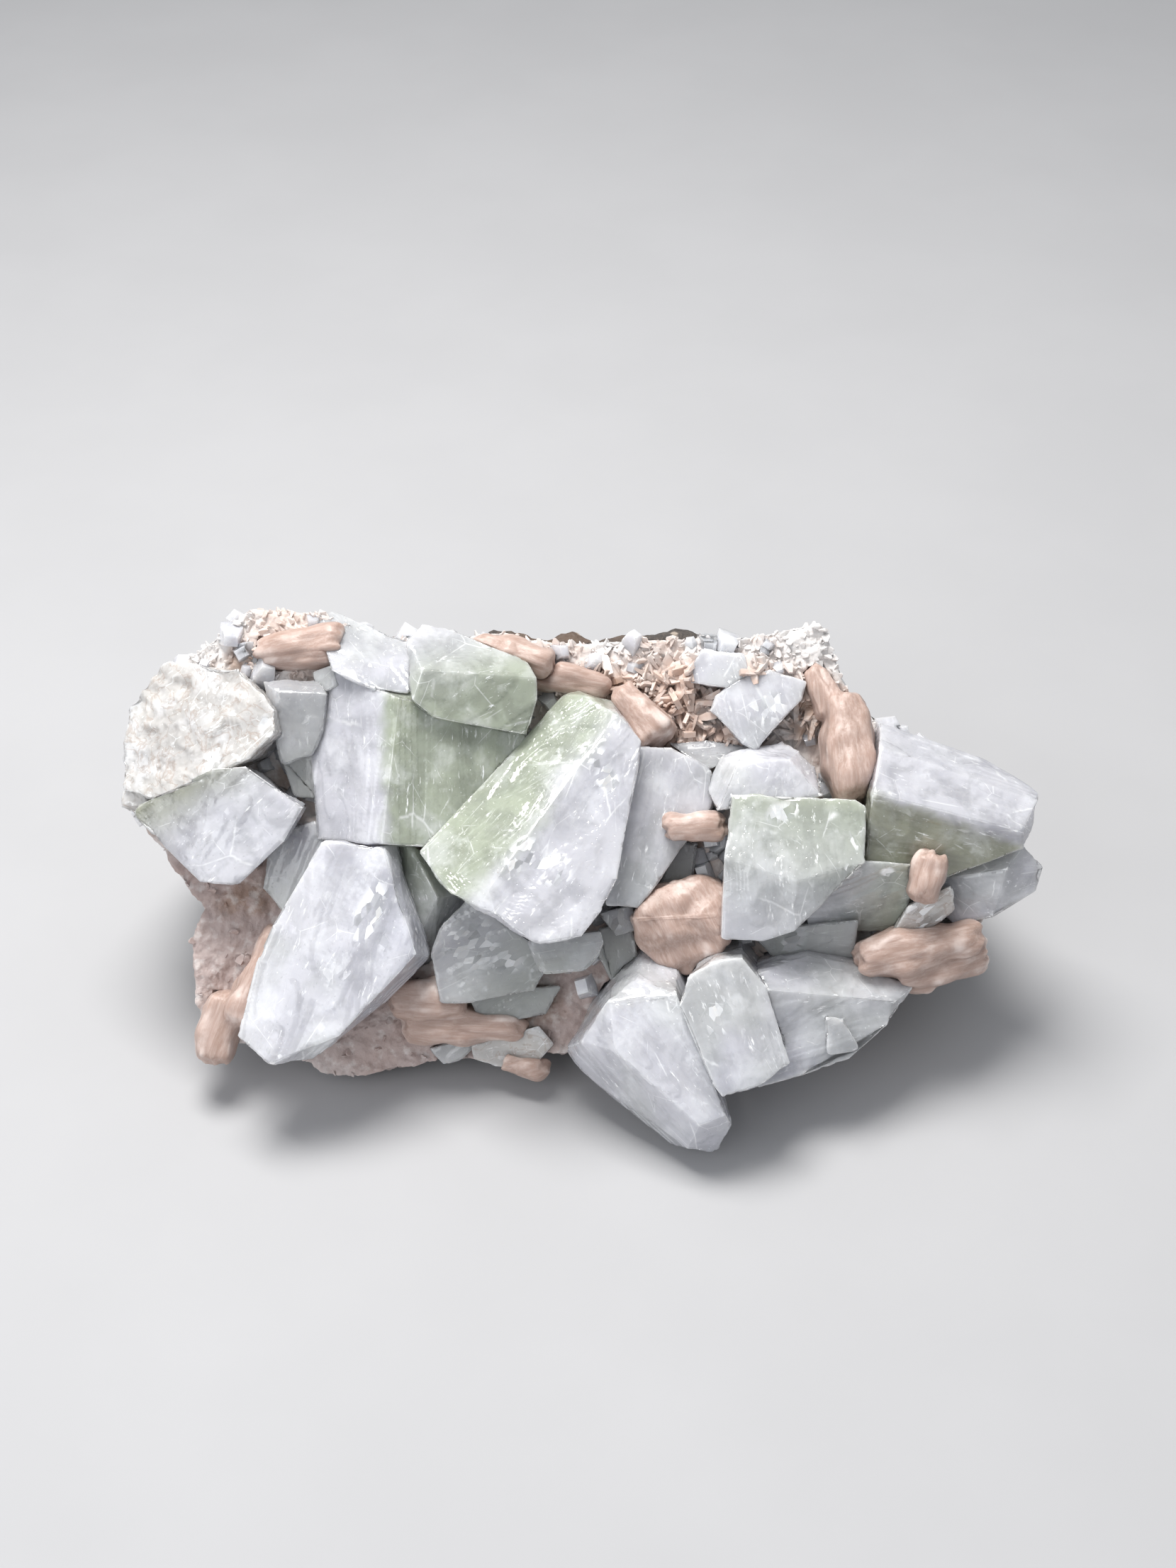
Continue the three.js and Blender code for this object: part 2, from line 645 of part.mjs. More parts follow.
// Basalt: rings of points across the lump, each standing at one x. A ring goes from the sawn base up the
// slope under the crust, over the crest and down the broken back.
const BASALT_RINGS = [
  { x: -91, top: 13, low: -4, thick: 6 },
  { x: -86, top: 21, low: -13, thick: 8 },
  { x: -79, top: 28, low: -30, thick: 10 },
  { x: -71, top: 33.5, low: -51, thick: 12 },
  { x: -59, top: 34, low: -56, thick: 14 },
  { x: -46, top: 30.5, low: -59, thick: 16 },
  { x: -33, top: 30.5, low: -57, thick: 15 },
  { x: -19, top: 31.8, low: -56, thick: 17 },
  { x: -5, top: 30, low: -54, thick: 18 },
  { x: 9, top: 30.8, low: -50, thick: 16 },
  { x: 23, top: 31, low: -50, thick: 17 },
  { x: 37, top: 31.5, low: -50, thick: 15 },
  { x: 47, top: 32, low: -48, thick: 14 },
  { x: 56, top: 18, low: -44, thick: 16 },
  { x: 66, top: 10, low: -40, thick: 15 },
  { x: 75, top: 4, low: -34, thick: 13 },
  { x: 82, top: -4, low: -27, thick: 8 },
];

// A point of the slope as depth and height of the standing specimen
function slopePoint(y, w) {
  const sine = Math.sin(FACE_ELEVATION);
  const cosine = Math.cos(FACE_ELEVATION);
  return { y: y * sine - w * cosine, z: BASE_DROP + y * cosine + w * sine };
}

// The broken back of each ring: how far behind the crest it lies, and its height in parts of the crest's
const BACK_STEPS = [
  { behind: 0.3, height: 0.88 },
  { behind: 1.05, height: 0.66 },
  { behind: 1.2, height: 0.4 },
];

function basaltSolid() {
  const random = stream(13);
  const jolt = (size) => (random() - 0.5) * 2 * size;
  const positions = [];
  let sides = 0;
  for (const { x, top, low, thick } of BASALT_RINGS) {
    const lip = slopePoint(low, -SLOPE_DEPTH);
    const rim = slopePoint(top, -SLOPE_DEPTH);
    const crest = slopePoint(top, -CREST_DROP);
    const back = rim.y + thick;
    const reach = lip.z / Math.tan(FACE_ELEVATION) + 3;
    const undercut = THREE.MathUtils.clamp((back - 6 - lip.y) / reach, 0, 1);
    const foot = { y: lip.y + undercut * reach, z: lip.z * (1 - undercut) };
    const slope = [0, 1 / 3, 2 / 3, 1].map((t) => [
      THREE.MathUtils.lerp(lip.y, rim.y, t),
      THREE.MathUtils.lerp(lip.z, rim.z, t),
    ]);
    const broken = BACK_STEPS.map(({ behind, height }) => [
      crest.y + thick * behind + jolt(1.5),
      rim.z * height + jolt(2),
    ]);
    const ring = [
      [foot.y, foot.z],
      [lip.y + 1.5, lip.z - 1.2],
      ...slope,
      [crest.y, crest.z],
      ...broken,
      [back + jolt(2), Math.max(foot.z + 3, 9 + jolt(2))],
      [back + jolt(1.5) - 1.5, foot.z],
    ];
    sides = ring.length;
    ring.reverse().forEach(([y, z]) => positions.push(new THREE.Vector3(x, y, z)));
  }
  const ends = [positions.slice(0, sides), positions.slice(-sides)];
  ends.forEach((ring, i) => {
    const middle = ring.reduce((sum, p) => sum.add(p), new THREE.Vector3()).divideScalar(sides);
    middle.x += i === 0 ? -2.5 : 2.5;
    positions.push(middle);
  });
  return ringsToManifold(positions, BASALT_RINGS.length, sides);
}

function largest(solid) {
  return solid.decompose().sort((a, b) => b.volume() - a.volume())[0];
}

function joined(parts, grow) {
  return parts.map((part) => part(grow)).reduce((whole, part) => whole.add(part));
}

function boxesMeet(a, b) {
  return [0, 1, 2].every((axis) => a.min[axis] <= b.max[axis] && b.min[axis] <= a.max[axis]);
}

// Everything over the root plane, so that no crystal reaches the basalt
const overRoot = new THREE.BoxGeometry(400, 400, 200).translate(0, 0, ROOT + 100);

const crystalFace = new THREE.Group();
crystalFace.rotation.x = Math.PI / 2 - FACE_ELEVATION;
crystalFace.position.z = BASE_DROP;
const specimen = new THREE.Group();

function addPiece(group, name, solid, finish) {
  const material = new THREE.MeshStandardMaterial({ metalness: 0, ...FINISHES[finish] });
  const mesh = new THREE.Mesh(manifoldToGeometry(solid), material);
  mesh.name = name;
  group.add(mesh);
}

const above = geometryToManifold(overRoot);
const grown = [];
function cutByEarlier(solid) {
  let rest = solid;
  for (const other of grown) {
    if (boxesMeet(other.box, rest.boundingBox())) rest = rest.subtract(other.solid);
  }
  return rest;
}

const pieces = [
  ...Object.entries(CRYSTALS).map(([name, { parts, finish }]) => ({ name, parts, finish })),
  ...Object.entries(SHEAVES).map(([name, parts]) => ({ name, parts, finish: "stilbite" })),
];
for (const { name, parts, finish } of pieces) {
  const whole = joined(parts, 0).intersect(above);
  const solid = largest(cutByEarlier(whole));
  addPiece(crystalFace, name, solid, finish);
  const swollen = joined(parts, GAP);
  grown.push({ solid: swollen, box: swollen.boundingBox() });
}

let crust = crustSolid();
for (const blade of bladeSolids()) crust = crust.add(blade);
addPiece(crystalFace, "zeolite_crust", largest(cutByEarlier(crust)), "crust");
addPiece(specimen, "basalt_matrix", largest(basaltSolid()), "basalt");

specimen.add(crystalFace);

// The origin is the middle of the specimen's footprint, on the sawn base.
specimen.updateMatrixWorld(true);
const extent = new THREE.Box3().setFromObject(specimen, true);
specimen.position.set(-(extent.min.x + extent.max.x) / 2, -(extent.min.y + extent.max.y) / 2, 0);

export default specimen;
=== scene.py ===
"""Apophyllite and stilbite cluster: glassy crystals, peach sheaves, crust and basalt around the solids."""

import math
from collections import namedtuple

import bmesh
import bpy
import numpy as np
from bpy.props import FloatProperty, FloatVectorProperty, IntProperty, PointerProperty
from mathutils import Matrix, Vector, noise


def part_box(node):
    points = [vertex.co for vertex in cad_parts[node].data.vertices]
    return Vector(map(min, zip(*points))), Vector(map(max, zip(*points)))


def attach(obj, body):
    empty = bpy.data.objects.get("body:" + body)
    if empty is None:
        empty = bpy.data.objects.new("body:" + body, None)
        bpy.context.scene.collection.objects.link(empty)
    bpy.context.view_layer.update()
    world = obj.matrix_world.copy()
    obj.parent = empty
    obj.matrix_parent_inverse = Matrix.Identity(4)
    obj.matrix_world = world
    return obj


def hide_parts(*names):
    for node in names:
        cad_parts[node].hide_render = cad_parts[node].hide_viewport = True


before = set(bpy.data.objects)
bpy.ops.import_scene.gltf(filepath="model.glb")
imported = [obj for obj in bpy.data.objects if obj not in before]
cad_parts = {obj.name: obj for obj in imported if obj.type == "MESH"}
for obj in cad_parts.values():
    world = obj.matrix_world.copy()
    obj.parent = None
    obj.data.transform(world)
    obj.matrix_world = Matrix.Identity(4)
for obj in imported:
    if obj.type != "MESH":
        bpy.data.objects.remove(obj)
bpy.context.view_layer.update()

bl_info = {
    "name": "Apophyllite and Stilbite Cluster",
    "version": (1, 0, 0),
    "blender": (4, 5, 0),
    "location": "View3D > Sidebar > Mineral",
    "description": "Glassy crystals, sheaves, crust and rock of a mineral specimen, over its solids",
    "category": "Object",
}

MM = 0.001

# The crystal face: its middle, from the lowest corner of the long crystal's box, and its directions
LONG_CRYSTAL_TO_MIDDLE = Vector((34.0, 45.08, 19.24)) * MM
FACE_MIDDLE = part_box("long_green_crystal")[0] + LONG_CRYSTAL_TO_MIDDLE
FACE_ELEVATION = math.radians(40)
RIGHT = Vector((1, 0, 0))
UP = Vector((0, math.sin(FACE_ELEVATION), math.cos(FACE_ELEVATION)))
OUT = Vector((0, -math.cos(FACE_ELEVATION), math.sin(FACE_ELEVATION)))

# The photograph's view of it, square to the face, and the stage, all in metres but the sensor
VIEW_DISTANCE = 0.52
VIEW_HEIGHT = 0.3318
SENSOR = 36
FLOOR_REACH = 4.0
TOP_LIGHT_PLACE = (-0.12, 0.1, 0.72)
FRONT_LIGHT_PLACE = (-0.5, -0.6, 0.45)


def linear(hex_colour):
    """A colour as Blender's shaders hold it, from its usual six-figure code."""
    channels = [int(hex_colour[i : i + 2], 16) / 255 for i in (0, 2, 4)]
    return tuple(c / 12.92 if c <= 0.04045 else ((c + 0.055) / 1.055) ** 2.4 for c in channels)


def face_point(x, y, out=0.0):
    """The point that lines up with x, y on the crystal face, in millimetres, and stands out from it."""
    nearer = 1 - out * MM / VIEW_DISTANCE
    return FACE_MIDDLE + (RIGHT * x * nearer + UP * y * nearer + OUT * out) * MM


def heading(degrees):
    """A direction in the crystal face, turned anticlockwise from straight up it."""
    angle = math.radians(degrees)
    return UP * math.cos(angle) - RIGHT * math.sin(angle)


def smooth(value, low, high):
    """0 under low, 1 over high, and a soft step between them."""
    t = min(1.0, max(0.0, (value - low) / (high - low)))
    return t * t * (3 - 2 * t)


class CrystalSettings(bpy.types.PropertyGroup):
    """Sizes and colours of the apophyllite."""

    green: FloatVectorProperty(
        name="Green",
        description="Deep green of the zoned crystals",
        subtype="COLOR",
        default=linear("b2b9a8"),
    )
    olive: FloatVectorProperty(
        name="Olive",
        description="Darkest green, seen down a crystal",
        subtype="COLOR",
        default=linear("acae9b"),
    )
    milk: FloatVectorProperty(
        name="Milk", description="White of milky crystals", subtype="COLOR", default=linear("d4d4da")
    )
    pearl: FloatVectorProperty(
        name="Pearl", description="Warm white of pearly ends", subtype="COLOR", default=linear("cdcac6")
    )
    smoke: FloatVectorProperty(
        name="Smoke", description="Tint of the clear crystals", subtype="COLOR", default=linear("dfe1de")
    )
    grey: FloatVectorProperty(
        name="Grey", description="Shade deep inside white crystals", subtype="COLOR", default=linear("c0c1cb")
    )
    step: FloatProperty(
        name="Mesh step", description="Longest mesh edge", subtype="DISTANCE", default=0.8 * MM
    )
    swell: FloatProperty(
        name="Swell",
        description="Growth that closes the gaps to neighbours",
        subtype="DISTANCE",
        default=0.3 * MM,
    )
    bevel: FloatProperty(
        name="Edge", description="Width of the worn edges", subtype="DISTANCE", default=0.2 * MM
    )
    terrace: FloatProperty(
        name="Terrace", description="Height of the growth terraces", subtype="DISTANCE", default=0.17 * MM
    )
    chip: FloatProperty(
        name="Chip", description="Depth of the chips along the edges", subtype="DISTANCE", default=1.8 * MM
    )
    wrinkle: FloatProperty(
        name="Wrinkle",
        description="Height of the pearly end's wrinkles",
        subtype="DISTANCE",
        default=0.8 * MM,
    )


class SheafSettings(bpy.types.PropertyGroup):
    """Sizes and colours of the stilbite."""

    peach: FloatVectorProperty(
        name="Peach", description="Colour of the sheaves", subtype="COLOR", default=linear("b1988d")
    )
    # Cream lies in patches on the rib tops and along the fibres.
    cream: FloatVectorProperty(
        name="Cream", description="Colour of their rubbed tops", subtype="COLOR", default=linear("dacbc4")
    )
    # Tan: painted shade in the grooves between the ribs, and grime in patches
    tan: FloatVectorProperty(
        name="Tan", description="Colour between their ribs", subtype="COLOR", default=linear("a2897c")
    )
    step: FloatProperty(
        name="Mesh step", description="Longest mesh edge", subtype="DISTANCE", default=0.6 * MM
    )
    rib: FloatProperty(
        name="Rib", description="Height of the ribs along a sheaf", subtype="DISTANCE", default=0.3 * MM
    )
    lump: FloatProperty(
        name="Lump", description="Height of the lumps of a sheaf", subtype="DISTANCE", default=0.9 * MM
    )
    swell: FloatProperty(
        name="Swell",
        description="Growth that makes up for the rounding",
        subtype="DISTANCE",
        default=0.35 * MM,
    )
    ragged: FloatProperty(
        name="Ragged ends", description="How far the blades end apart", subtype="DISTANCE", default=1.2 * MM
    )


class CrustSettings(bpy.types.PropertyGroup):
    """Sizes and colours of the crust."""

    white: FloatVectorProperty(
        name="White", description="Colour of the white druse", subtype="COLOR", default=linear("dedad8")
    )
    peach: FloatVectorProperty(
        name="Peach", description="Colour of the hollow's druse", subtype="COLOR", default=linear("d2baad")
    )
    mauve: FloatVectorProperty(
        name="Mauve", description="Pinkish grey of the lower crust", subtype="COLOR", default=linear("b09c97")
    )
    # Brown: stain mixed with painted shade in the pockets between the crystals, and dirt in the specks
    brown: FloatVectorProperty(
        name="Brown", description="Stain deep between the crystals", subtype="COLOR", default=linear("8f6f57")
    )
    step: FloatProperty(
        name="Mesh step", description="Longest mesh edge", subtype="DISTANCE", default=1.0 * MM
    )
    lump: FloatProperty(
        name="Lump", description="Height of the crust's lumps", subtype="DISTANCE", default=1.2 * MM
    )
    blade: FloatProperty(
        name="Blade", description="Length of the hollow's blades", subtype="DISTANCE", default=5.6 * MM
    )
    grain: FloatProperty(
        name="Grain", description="Length of the druse's grains", subtype="DISTANCE", default=1.9 * MM
    )
    small: FloatProperty(
        name="Small crystals",
        description="Length of the small crystals",
        subtype="DISTANCE",
        default=5.0 * MM,
    )
    seed: IntProperty(name="Seed", description="Arrangement of the druse", default=7)


class RockSettings(bpy.types.PropertyGroup):
    """Sizes and colours of the basalt."""

    dark: FloatVectorProperty(
        name="Basalt", description="Colour of fresh basalt", subtype="COLOR", default=linear("3b3633")
    )
    rust: FloatVectorProperty(
        name="Weathered",
        description="Colour of its weathered skin",
        subtype="COLOR",
        default=linear("6b5545"),
    )
    step: FloatProperty(
        name="Mesh step", description="Longest mesh edge", subtype="DISTANCE", default=1.6 * MM
    )
    break_height: FloatProperty(
        name="Break", description="Depth of the broken surface", subtype="DISTANCE", default=2.2 * MM
    )


class StageSettings(bpy.types.PropertyGroup):
    """Floor and lights."""

    floor: FloatVectorProperty(
        name="Floor", description="Colour of the floor", subtype="COLOR", default=linear("b4b4b6")
    )
    key: FloatProperty(
        name="Top light", description="Power of the light overhead", subtype="POWER", default=7.0
    )
    fill: FloatProperty(name="Fill", description="Power of the light in front", subtype="POWER", default=2.6)
    sky: FloatProperty(name="Room light", description="Strength of the room's light", default=0.45)


# Shader nodes


def add_node(tree, kind, inputs=None, **settings):
    """A new node with its settings made and its inputs filled or linked."""
    node = tree.nodes.new(kind)
    for name, value in settings.items():
        setattr(node, name, value)
    for socket, value in (inputs or {}).items():
        if isinstance(value, bpy.types.NodeSocket):
            tree.links.new(value, node.inputs[socket])
        else:
            node.inputs[socket].default_value = value
    return node


def colour4(colour):
    """A colour with its alpha."""
    return (*colour[:3], 1.0)


def mixed(tree, factor, a, b, blend="MIX"):
    """Two colours mixed by a factor."""
    inputs = {0: factor}
    inputs[6] = a if isinstance(a, bpy.types.NodeSocket) else colour4(a)
    inputs[7] = b if isinstance(b, bpy.types.NodeSocket) else colour4(b)
    return add_node(tree, "ShaderNodeMix", inputs, data_type="RGBA", blend_type=blend).outputs[2]


def maths(tree, operation, *values, clamp=False):
    """A sum, product or other step of arithmetic."""
    inputs = dict(enumerate(values))
    return add_node(tree, "ShaderNodeMath", inputs, operation=operation, use_clamp=clamp).outputs[0]


def vectors(tree, operation, *values, output="Vector"):
    """A step of arithmetic with vectors."""
    inputs = dict(enumerate(values))
    return add_node(tree, "ShaderNodeVectorMath", inputs, operation=operation).outputs[output]


def ranged(tree, value, low, high, to_low=0.0, to_high=1.0):
    """A value's soft step from low to high."""
    inputs = {"Value": value, "From Min": low, "From Max": high, "To Min": to_low, "To Max": to_high}
    return add_node(tree, "ShaderNodeMapRange", inputs, interpolation_type="SMOOTHSTEP").outputs[0]


def stretched(tree, vector, scale):
    """The same place, stretched."""
    return add_node(tree, "ShaderNodeMapping", {"Vector": vector, "Scale": scale}).outputs[0]


def cloud(tree, vector, size, detail=3.0, roughness=0.55, distortion=0.0):
    """Noise whose lumps are about as large as size."""
    inputs = {"Vector": vector, "Scale": 1 / size, "Detail": detail, "Roughness": roughness}
    inputs["Distortion"] = distortion
    return add_node(tree, "ShaderNodeTexNoise", inputs).outputs[0]


def cells(tree, vector, size, **settings):
    """How far a place is from the middle, or the edge, of a cell about as large as size."""
    inputs = {"Vector": vector, "Scale": 1 / size}
    return add_node(tree, "ShaderNodeTexVoronoi", inputs, **settings).outputs["Distance"]


def bumped(tree, height, depth, strength=1.0, below=None):
    """A bump of that depth, over another one."""
    inputs = {"Height": height, "Distance": depth, "Strength": strength}
    if below is not None:
        inputs["Normal"] = below
    return add_node(tree, "ShaderNodeBump", inputs).outputs[0]


def new_material(name, **uniform):
    """A material with one shader, whose sockets are set to the values that are the same all over."""
    material = bpy.data.materials.new(name)
    material.use_nodes = True
    tree = material.node_tree
    shader = tree.nodes["Principled BSDF"]
    shader.inputs["Subsurface Radius"].default_value = (1.0, 0.95, 0.9)
    for socket, value in uniform.items():
        shader.inputs[socket.replace("_", " ").title().replace("Ior", "IOR")].default_value = value
    return material, tree, shader


def place_on(tree, centre, axes):
    """Object coordinates, centred on a piece and turned to its own directions."""
    turned = Matrix(axes).transposed().to_euler()
    place = add_node(tree, "ShaderNodeTexCoord").outputs["Object"]
    inputs = {"Vector": place, "Location": centre, "Rotation": turned}
    return add_node(tree, "ShaderNodeMapping", inputs, vector_type="TEXTURE").outputs[0]


# Meshes


def solid_copy(node, merge=0.05 * MM):
    """A node's solid as one joined mesh with whole flat faces."""
    bm = bmesh.new()
    bm.from_mesh(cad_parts[node].data)
    bmesh.ops.remove_doubles(bm, verts=bm.verts, dist=merge)
    bmesh.ops.dissolve_limit(bm, angle_limit=math.radians(1.5), verts=bm.verts, edges=bm.edges)
    return bm


def halved(verts, tris, fine, step):
    """One round of halving: every edge of a fine triangle that is longer than step gets a middle."""
    edges = np.stack([tris, np.roll(tris, -1, axis=1)], axis=2)
    edges.sort(axis=2)
    edges = edges.reshape(-1, 2)
    lengths = np.linalg.norm(verts[edges[:, 0]] - verts[edges[:, 1]], axis=1)
    unique, owner = np.unique(edges[:, 0] * len(verts) + edges[:, 1], return_inverse=True)
    split = np.zeros(len(unique), bool)
    split[owner[(lengths > step) & np.repeat(fine, 3)]] = True
    if not split.any():
        return None
    middle_of = np.where(split, len(verts) + np.cumsum(split) - 1, -1)
    ends = np.stack([unique // len(verts), unique % len(verts)], axis=1)[split]
    verts = np.vstack([verts, verts[ends].mean(axis=1)])
    middles = middle_of[owner].reshape(-1, 3)
    count = (middles >= 0).sum(axis=1)
    # Turned so that a lone middle is on the first side, and a lone whole side is the last
    turn = np.where(count == 1, np.argmax(middles >= 0, axis=1), 0)
    turn = np.where(count == 2, (np.argmin(middles >= 0, axis=1) + 1) % 3, turn)
    order = (np.arange(3) + turn[:, None]) % 3
    a, b, c = np.take_along_axis(tris, order, 1).T
    ab, bc, ca = np.take_along_axis(middles, order, 1).T
    across = np.linalg.norm(verts[a] - verts[bc], axis=1) < np.linalg.norm(verts[ab] - verts[c], axis=1)
    patterns = (
        (count == 0, ((a, b, c),)),
        (count == 1, ((a, ab, c), (ab, b, c))),
        ((count == 2) & across, ((ab, b, bc), (a, ab, bc), (a, bc, c))),
        ((count == 2) & ~across, ((ab, b, bc), (a, ab, c), (ab, bc, c))),
        (count == 3, ((a, ab, ca), (ab, b, bc), (ca, bc, c), (ab, bc, ca))),
    )
    parts = [(np.stack(corners, axis=1)[rows], fine[rows]) for rows, kinds in patterns for corners in kinds]
    return verts, np.vstack([part[0] for part in parts]), np.concatenate([part[1] for part in parts])


def refine(bm, step, wanted=lambda face: True):
    """Halves the edges of the wanted faces until none is longer than step."""
    bmesh.ops.triangulate(bm, faces=bm.faces[:])
    bm.verts.index_update()
    verts = np.array([vert.co for vert in bm.verts])
    tris = np.array([[vert.index for vert in face.verts] for face in bm.faces])
    fine = np.array([wanted(face) for face in bm.faces])
    while True:
        result = halved(verts, tris, fine, step)
        if result is None:
            break
        verts, tris, fine = result
    mesh = bpy.data.meshes.new("refined")
    mesh.from_pydata(verts.tolist(), [], tris.tolist())
    bm.clear()
    bm.from_mesh(mesh)
    bpy.data.meshes.remove(mesh)
    bm.normal_update()


def soften(bm, rounds):
    """Rounds a mesh off."""
    for _ in range(rounds):
        bmesh.ops.smooth_vert(
            bm, verts=bm.verts, factor=0.5, use_axis_x=True, use_axis_y=True, use_axis_z=True
        )
    bm.normal_update()


def displace(bm, moves):
    """Moves each corner of a mesh by its own step."""
    for vert, move in zip(bm.verts, moves):
        vert.co += move


def rumpled(place, *waves):
    """Noise summed from waves, each with its height and how many lumps it has in a millimetre."""
    return sum(height * noise.noise(place * rate) for height, rate in waves)


def edge_share(vert):
    """How much of an edge a vertex is: 0 on a flat face, 1 on a sharp edge."""
    flatness = min(vert.normal.dot(face.normal) for face in vert.link_faces)
    return min(1.0, (1 - flatness) * 12)


def finished(name, bm, material, slot, *nodes):
    """The mesh as a piece that rides with the specimen and stands for its nodes."""
    mesh = bpy.data.meshes.new(name)
    bm.to_mesh(mesh)
    bm.free()
    mesh.shade_smooth()
    placed(name, mesh, material, slot, *nodes)


def placed(name, mesh, material, slot, *nodes):
    """A finished mesh as a piece that rides with the specimen and stands for its nodes."""
    mesh.materials.clear()
    mesh.materials.append(material)
    piece = bpy.data.objects.new(name, mesh)
    bpy.context.scene.collection.objects.link(piece)
    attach(piece, "root")
    if nodes:
        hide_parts(*nodes)


# Apophyllite. A crystal's axis and the side that it pales to are headings in the face, in degrees
# anticlockwise from straight up it, and pales holds where that change starts and ends, from -1 to 1.
# The pale side is partly the crystal's own white zone and partly a painted reflection of the light on the
# faces that caught it.
Look = namedtuple("Look", "tone axis side pales wrinkled", defaults=(0, (-1.0, 1.0), False))
CRYSTALS = {
    "long_green_crystal": Look("green", -36, -126, (-0.22, 0.1)),
    "green_cap_crystal": Look("green", -60, 20, (-0.3, 1.3)),
    "green_block_crystal": Look("green", 0, 92, (0.2, 0.38)),
    "right_block_crystal": Look("green", 5, 165, (-1.5, 1.3)),
    "right_small_crystal": Look("green", -70, 70, (-1.2, 0.7)),
    "east_prism_crystal": Look("olive", -108, -20, (-0.3, -0.1)),
    "olive_wedge_crystal": Look("olive", -50, -150, (-0.7, 0.05)),
    "olive_keel_crystal": Look("green", 10, -120, (-0.9, 0.9)),
    "kite_crystal": Look("white", -20, 90, (-1.2, 0.1)),
    "slab_crystal": Look("white", 38, 0, (-1.6, -0.4)),
    "low_block_crystal": Look("white", 20, 0, (-1.4, 0.2)),
    "low_tablet_crystal": Look("white", -75, 0, (-1.3, 0.3)),
    "east_point_crystal": Look("white", -95, -90, (-1.2, 0.6)),
    "pearly_end_crystal": Look("pearl", -60, 90, (-1.2, -0.2), wrinkled=True),
    "white_flank_crystal": Look("white", -15, 0, (-1.4, -0.2)),
    "pale_block_crystal": Look("white", -10, 0, (-1.4, 0.0)),
    "white_shoulder_crystal": Look("white", 15, 0, (-1.4, 0.2)),
    "diamond_crystal": Look("white", 15, 0, (-1.3, 0.4)),
    "rim_plate_crystal": Look("white", 15, 0, (-1.6, -0.6)),
    "pearly_patch_crystal": Look("pearl", -50, 0, (-1.6, -0.6)),
    "pink_tablet_crystal": Look("pearl", -80, 0, (-1.4, 0.2)),
    "clear_tablet_crystal": Look("clear", -80),
    "fractured_clear_crystal": Look("clear", -60, 40),
    "small_clear_crystal": Look("clear", 0),
    "grey_block_crystal": Look("clear", 0, 0, (-1.0, 0.6)),
    "grey_blade_crystal": Look("clear", -20, 0, (-1.0, 0.8)),
    "ledge_crystal": Look("clear", -85),
    "clear_sliver_crystal": Look("clear", -90),
    "smoky_crystal": Look("clear", 0),
    "clear_chip_crystal": Look("clear", 0),
    "foot_crystal": Look("clear", -60),
}
SLOTS = {
    "green": "apophyllite_green",
    "olive": "apophyllite_green",
    "white": "apophyllite_white",
    "pearl": "apophyllite_white",
    "clear": "apophyllite_clear",
}

# How see-through each tone is in its milkiest and its clearest places, how much it scatters light,
# and how much its clouds and fractures show
HAZE = {
    "green": {"glass": (0.16, 0.32), "scatter": 0.7, "clouds": 0.35, "fractures": 0.4},
    "olive": {"glass": (0.18, 0.38), "scatter": 0.7, "clouds": 0.3, "fractures": 0.35},
    "white": {"glass": (0.12, 0.25), "scatter": 0.8, "clouds": 0.4, "fractures": 0.5},
    "pearl": {"glass": (0.0, 0.12), "scatter": 0.6, "clouds": 0.5, "fractures": 0.6},
    "clear": {"glass": (0.44, 0.44), "scatter": 0.7, "clouds": 0.6, "fractures": 1.0},
    "frost": {"glass": (0.0, 0.15), "scatter": 0.9, "clouds": 0.8, "fractures": 0.4},
}
APOPHYLLITE_IOR = 1.535
CRYSTAL_SCATTER_DEPTH = 5 * MM
SMOKE_DENSITY = 18.0
CRYSTAL_PATTERN_STEP = 0.37
TERRACES = 5
CLOUD_WHITE = (0.82, 0.83, 0.855)
# White of the milky wisps, and of the specks painted as glints
WISP_AND_GLINT_WHITE = (0.96, 0.97, 0.98)
STAIN_BROWN = linear("8a6b52")
# Brown of the painted shade in the pearly ends' creases
CREASE_SHADE_BROWN = linear("a58f80")
# Grey of the painted shade on fracture facets that miss the light
FACET_SHADE_GREY = linear("9a9f9e")

# Fractures inside the crystals, their facets painted white as glints and grey as shade: where each is seen on
# the face, its half sizes and its heading
VEILS = [
    {"at": (-14.2, -15.6), "size": (2.6, 4.4), "turn": -30},
    {"at": (-7.4, -18.2), "size": (3.4, 3.6), "turn": 40},
    {"at": (1.6, 5.8), "size": (3.2, 2.0), "turn": -35},
    {"at": (4.1, 0.9), "size": (2.8, 2.2), "turn": -50},
    {"at": (-25.4, -33.6), "size": (6.0, 5.5), "turn": -40},
    {"at": (-17.0, -37.5), "size": (3.4, 2.4), "turn": 10},
    {"at": (-4.9, -46.3), "size": (2.0, 2.2), "turn": 0},
    {"at": (6.8, -28.2), "size": (3.0, 2.2), "turn": 30},
    {"at": (41.3, -5.8), "size": (3.4, 2.0), "turn": 20},
    {"at": (56.6, -11.4), "size": (1.2, 2.4), "turn": 0},
    {"at": (55.9, -18.6), "size": (1.6, 2.0), "turn": -40},
    {"at": (63.4, -18.6), "size": (1.4, 1.0), "turn": 0},
    {"at": (-68.2, 12.2), "size": (1.6, 2.4), "turn": 20},
    {"at": (-79.4, 5.0), "size": (2.2, 1.8), "turn": -30},
    {"at": (-46.1, -27.2), "size": (2.6, 6.5), "turn": -20},
    {"at": (71.0, -27.5), "size": (4.5, 3.0), "turn": -40},
    {"at": (43.0, -34.0), "size": (5.0, 2.0), "turn": 60},
    {"at": (27.5, -49.0), "size": (3.0, 4.0), "turn": -15},
    {"at": (38.0, 16.0), "size": (4.0, 3.0), "turn": 30},
]


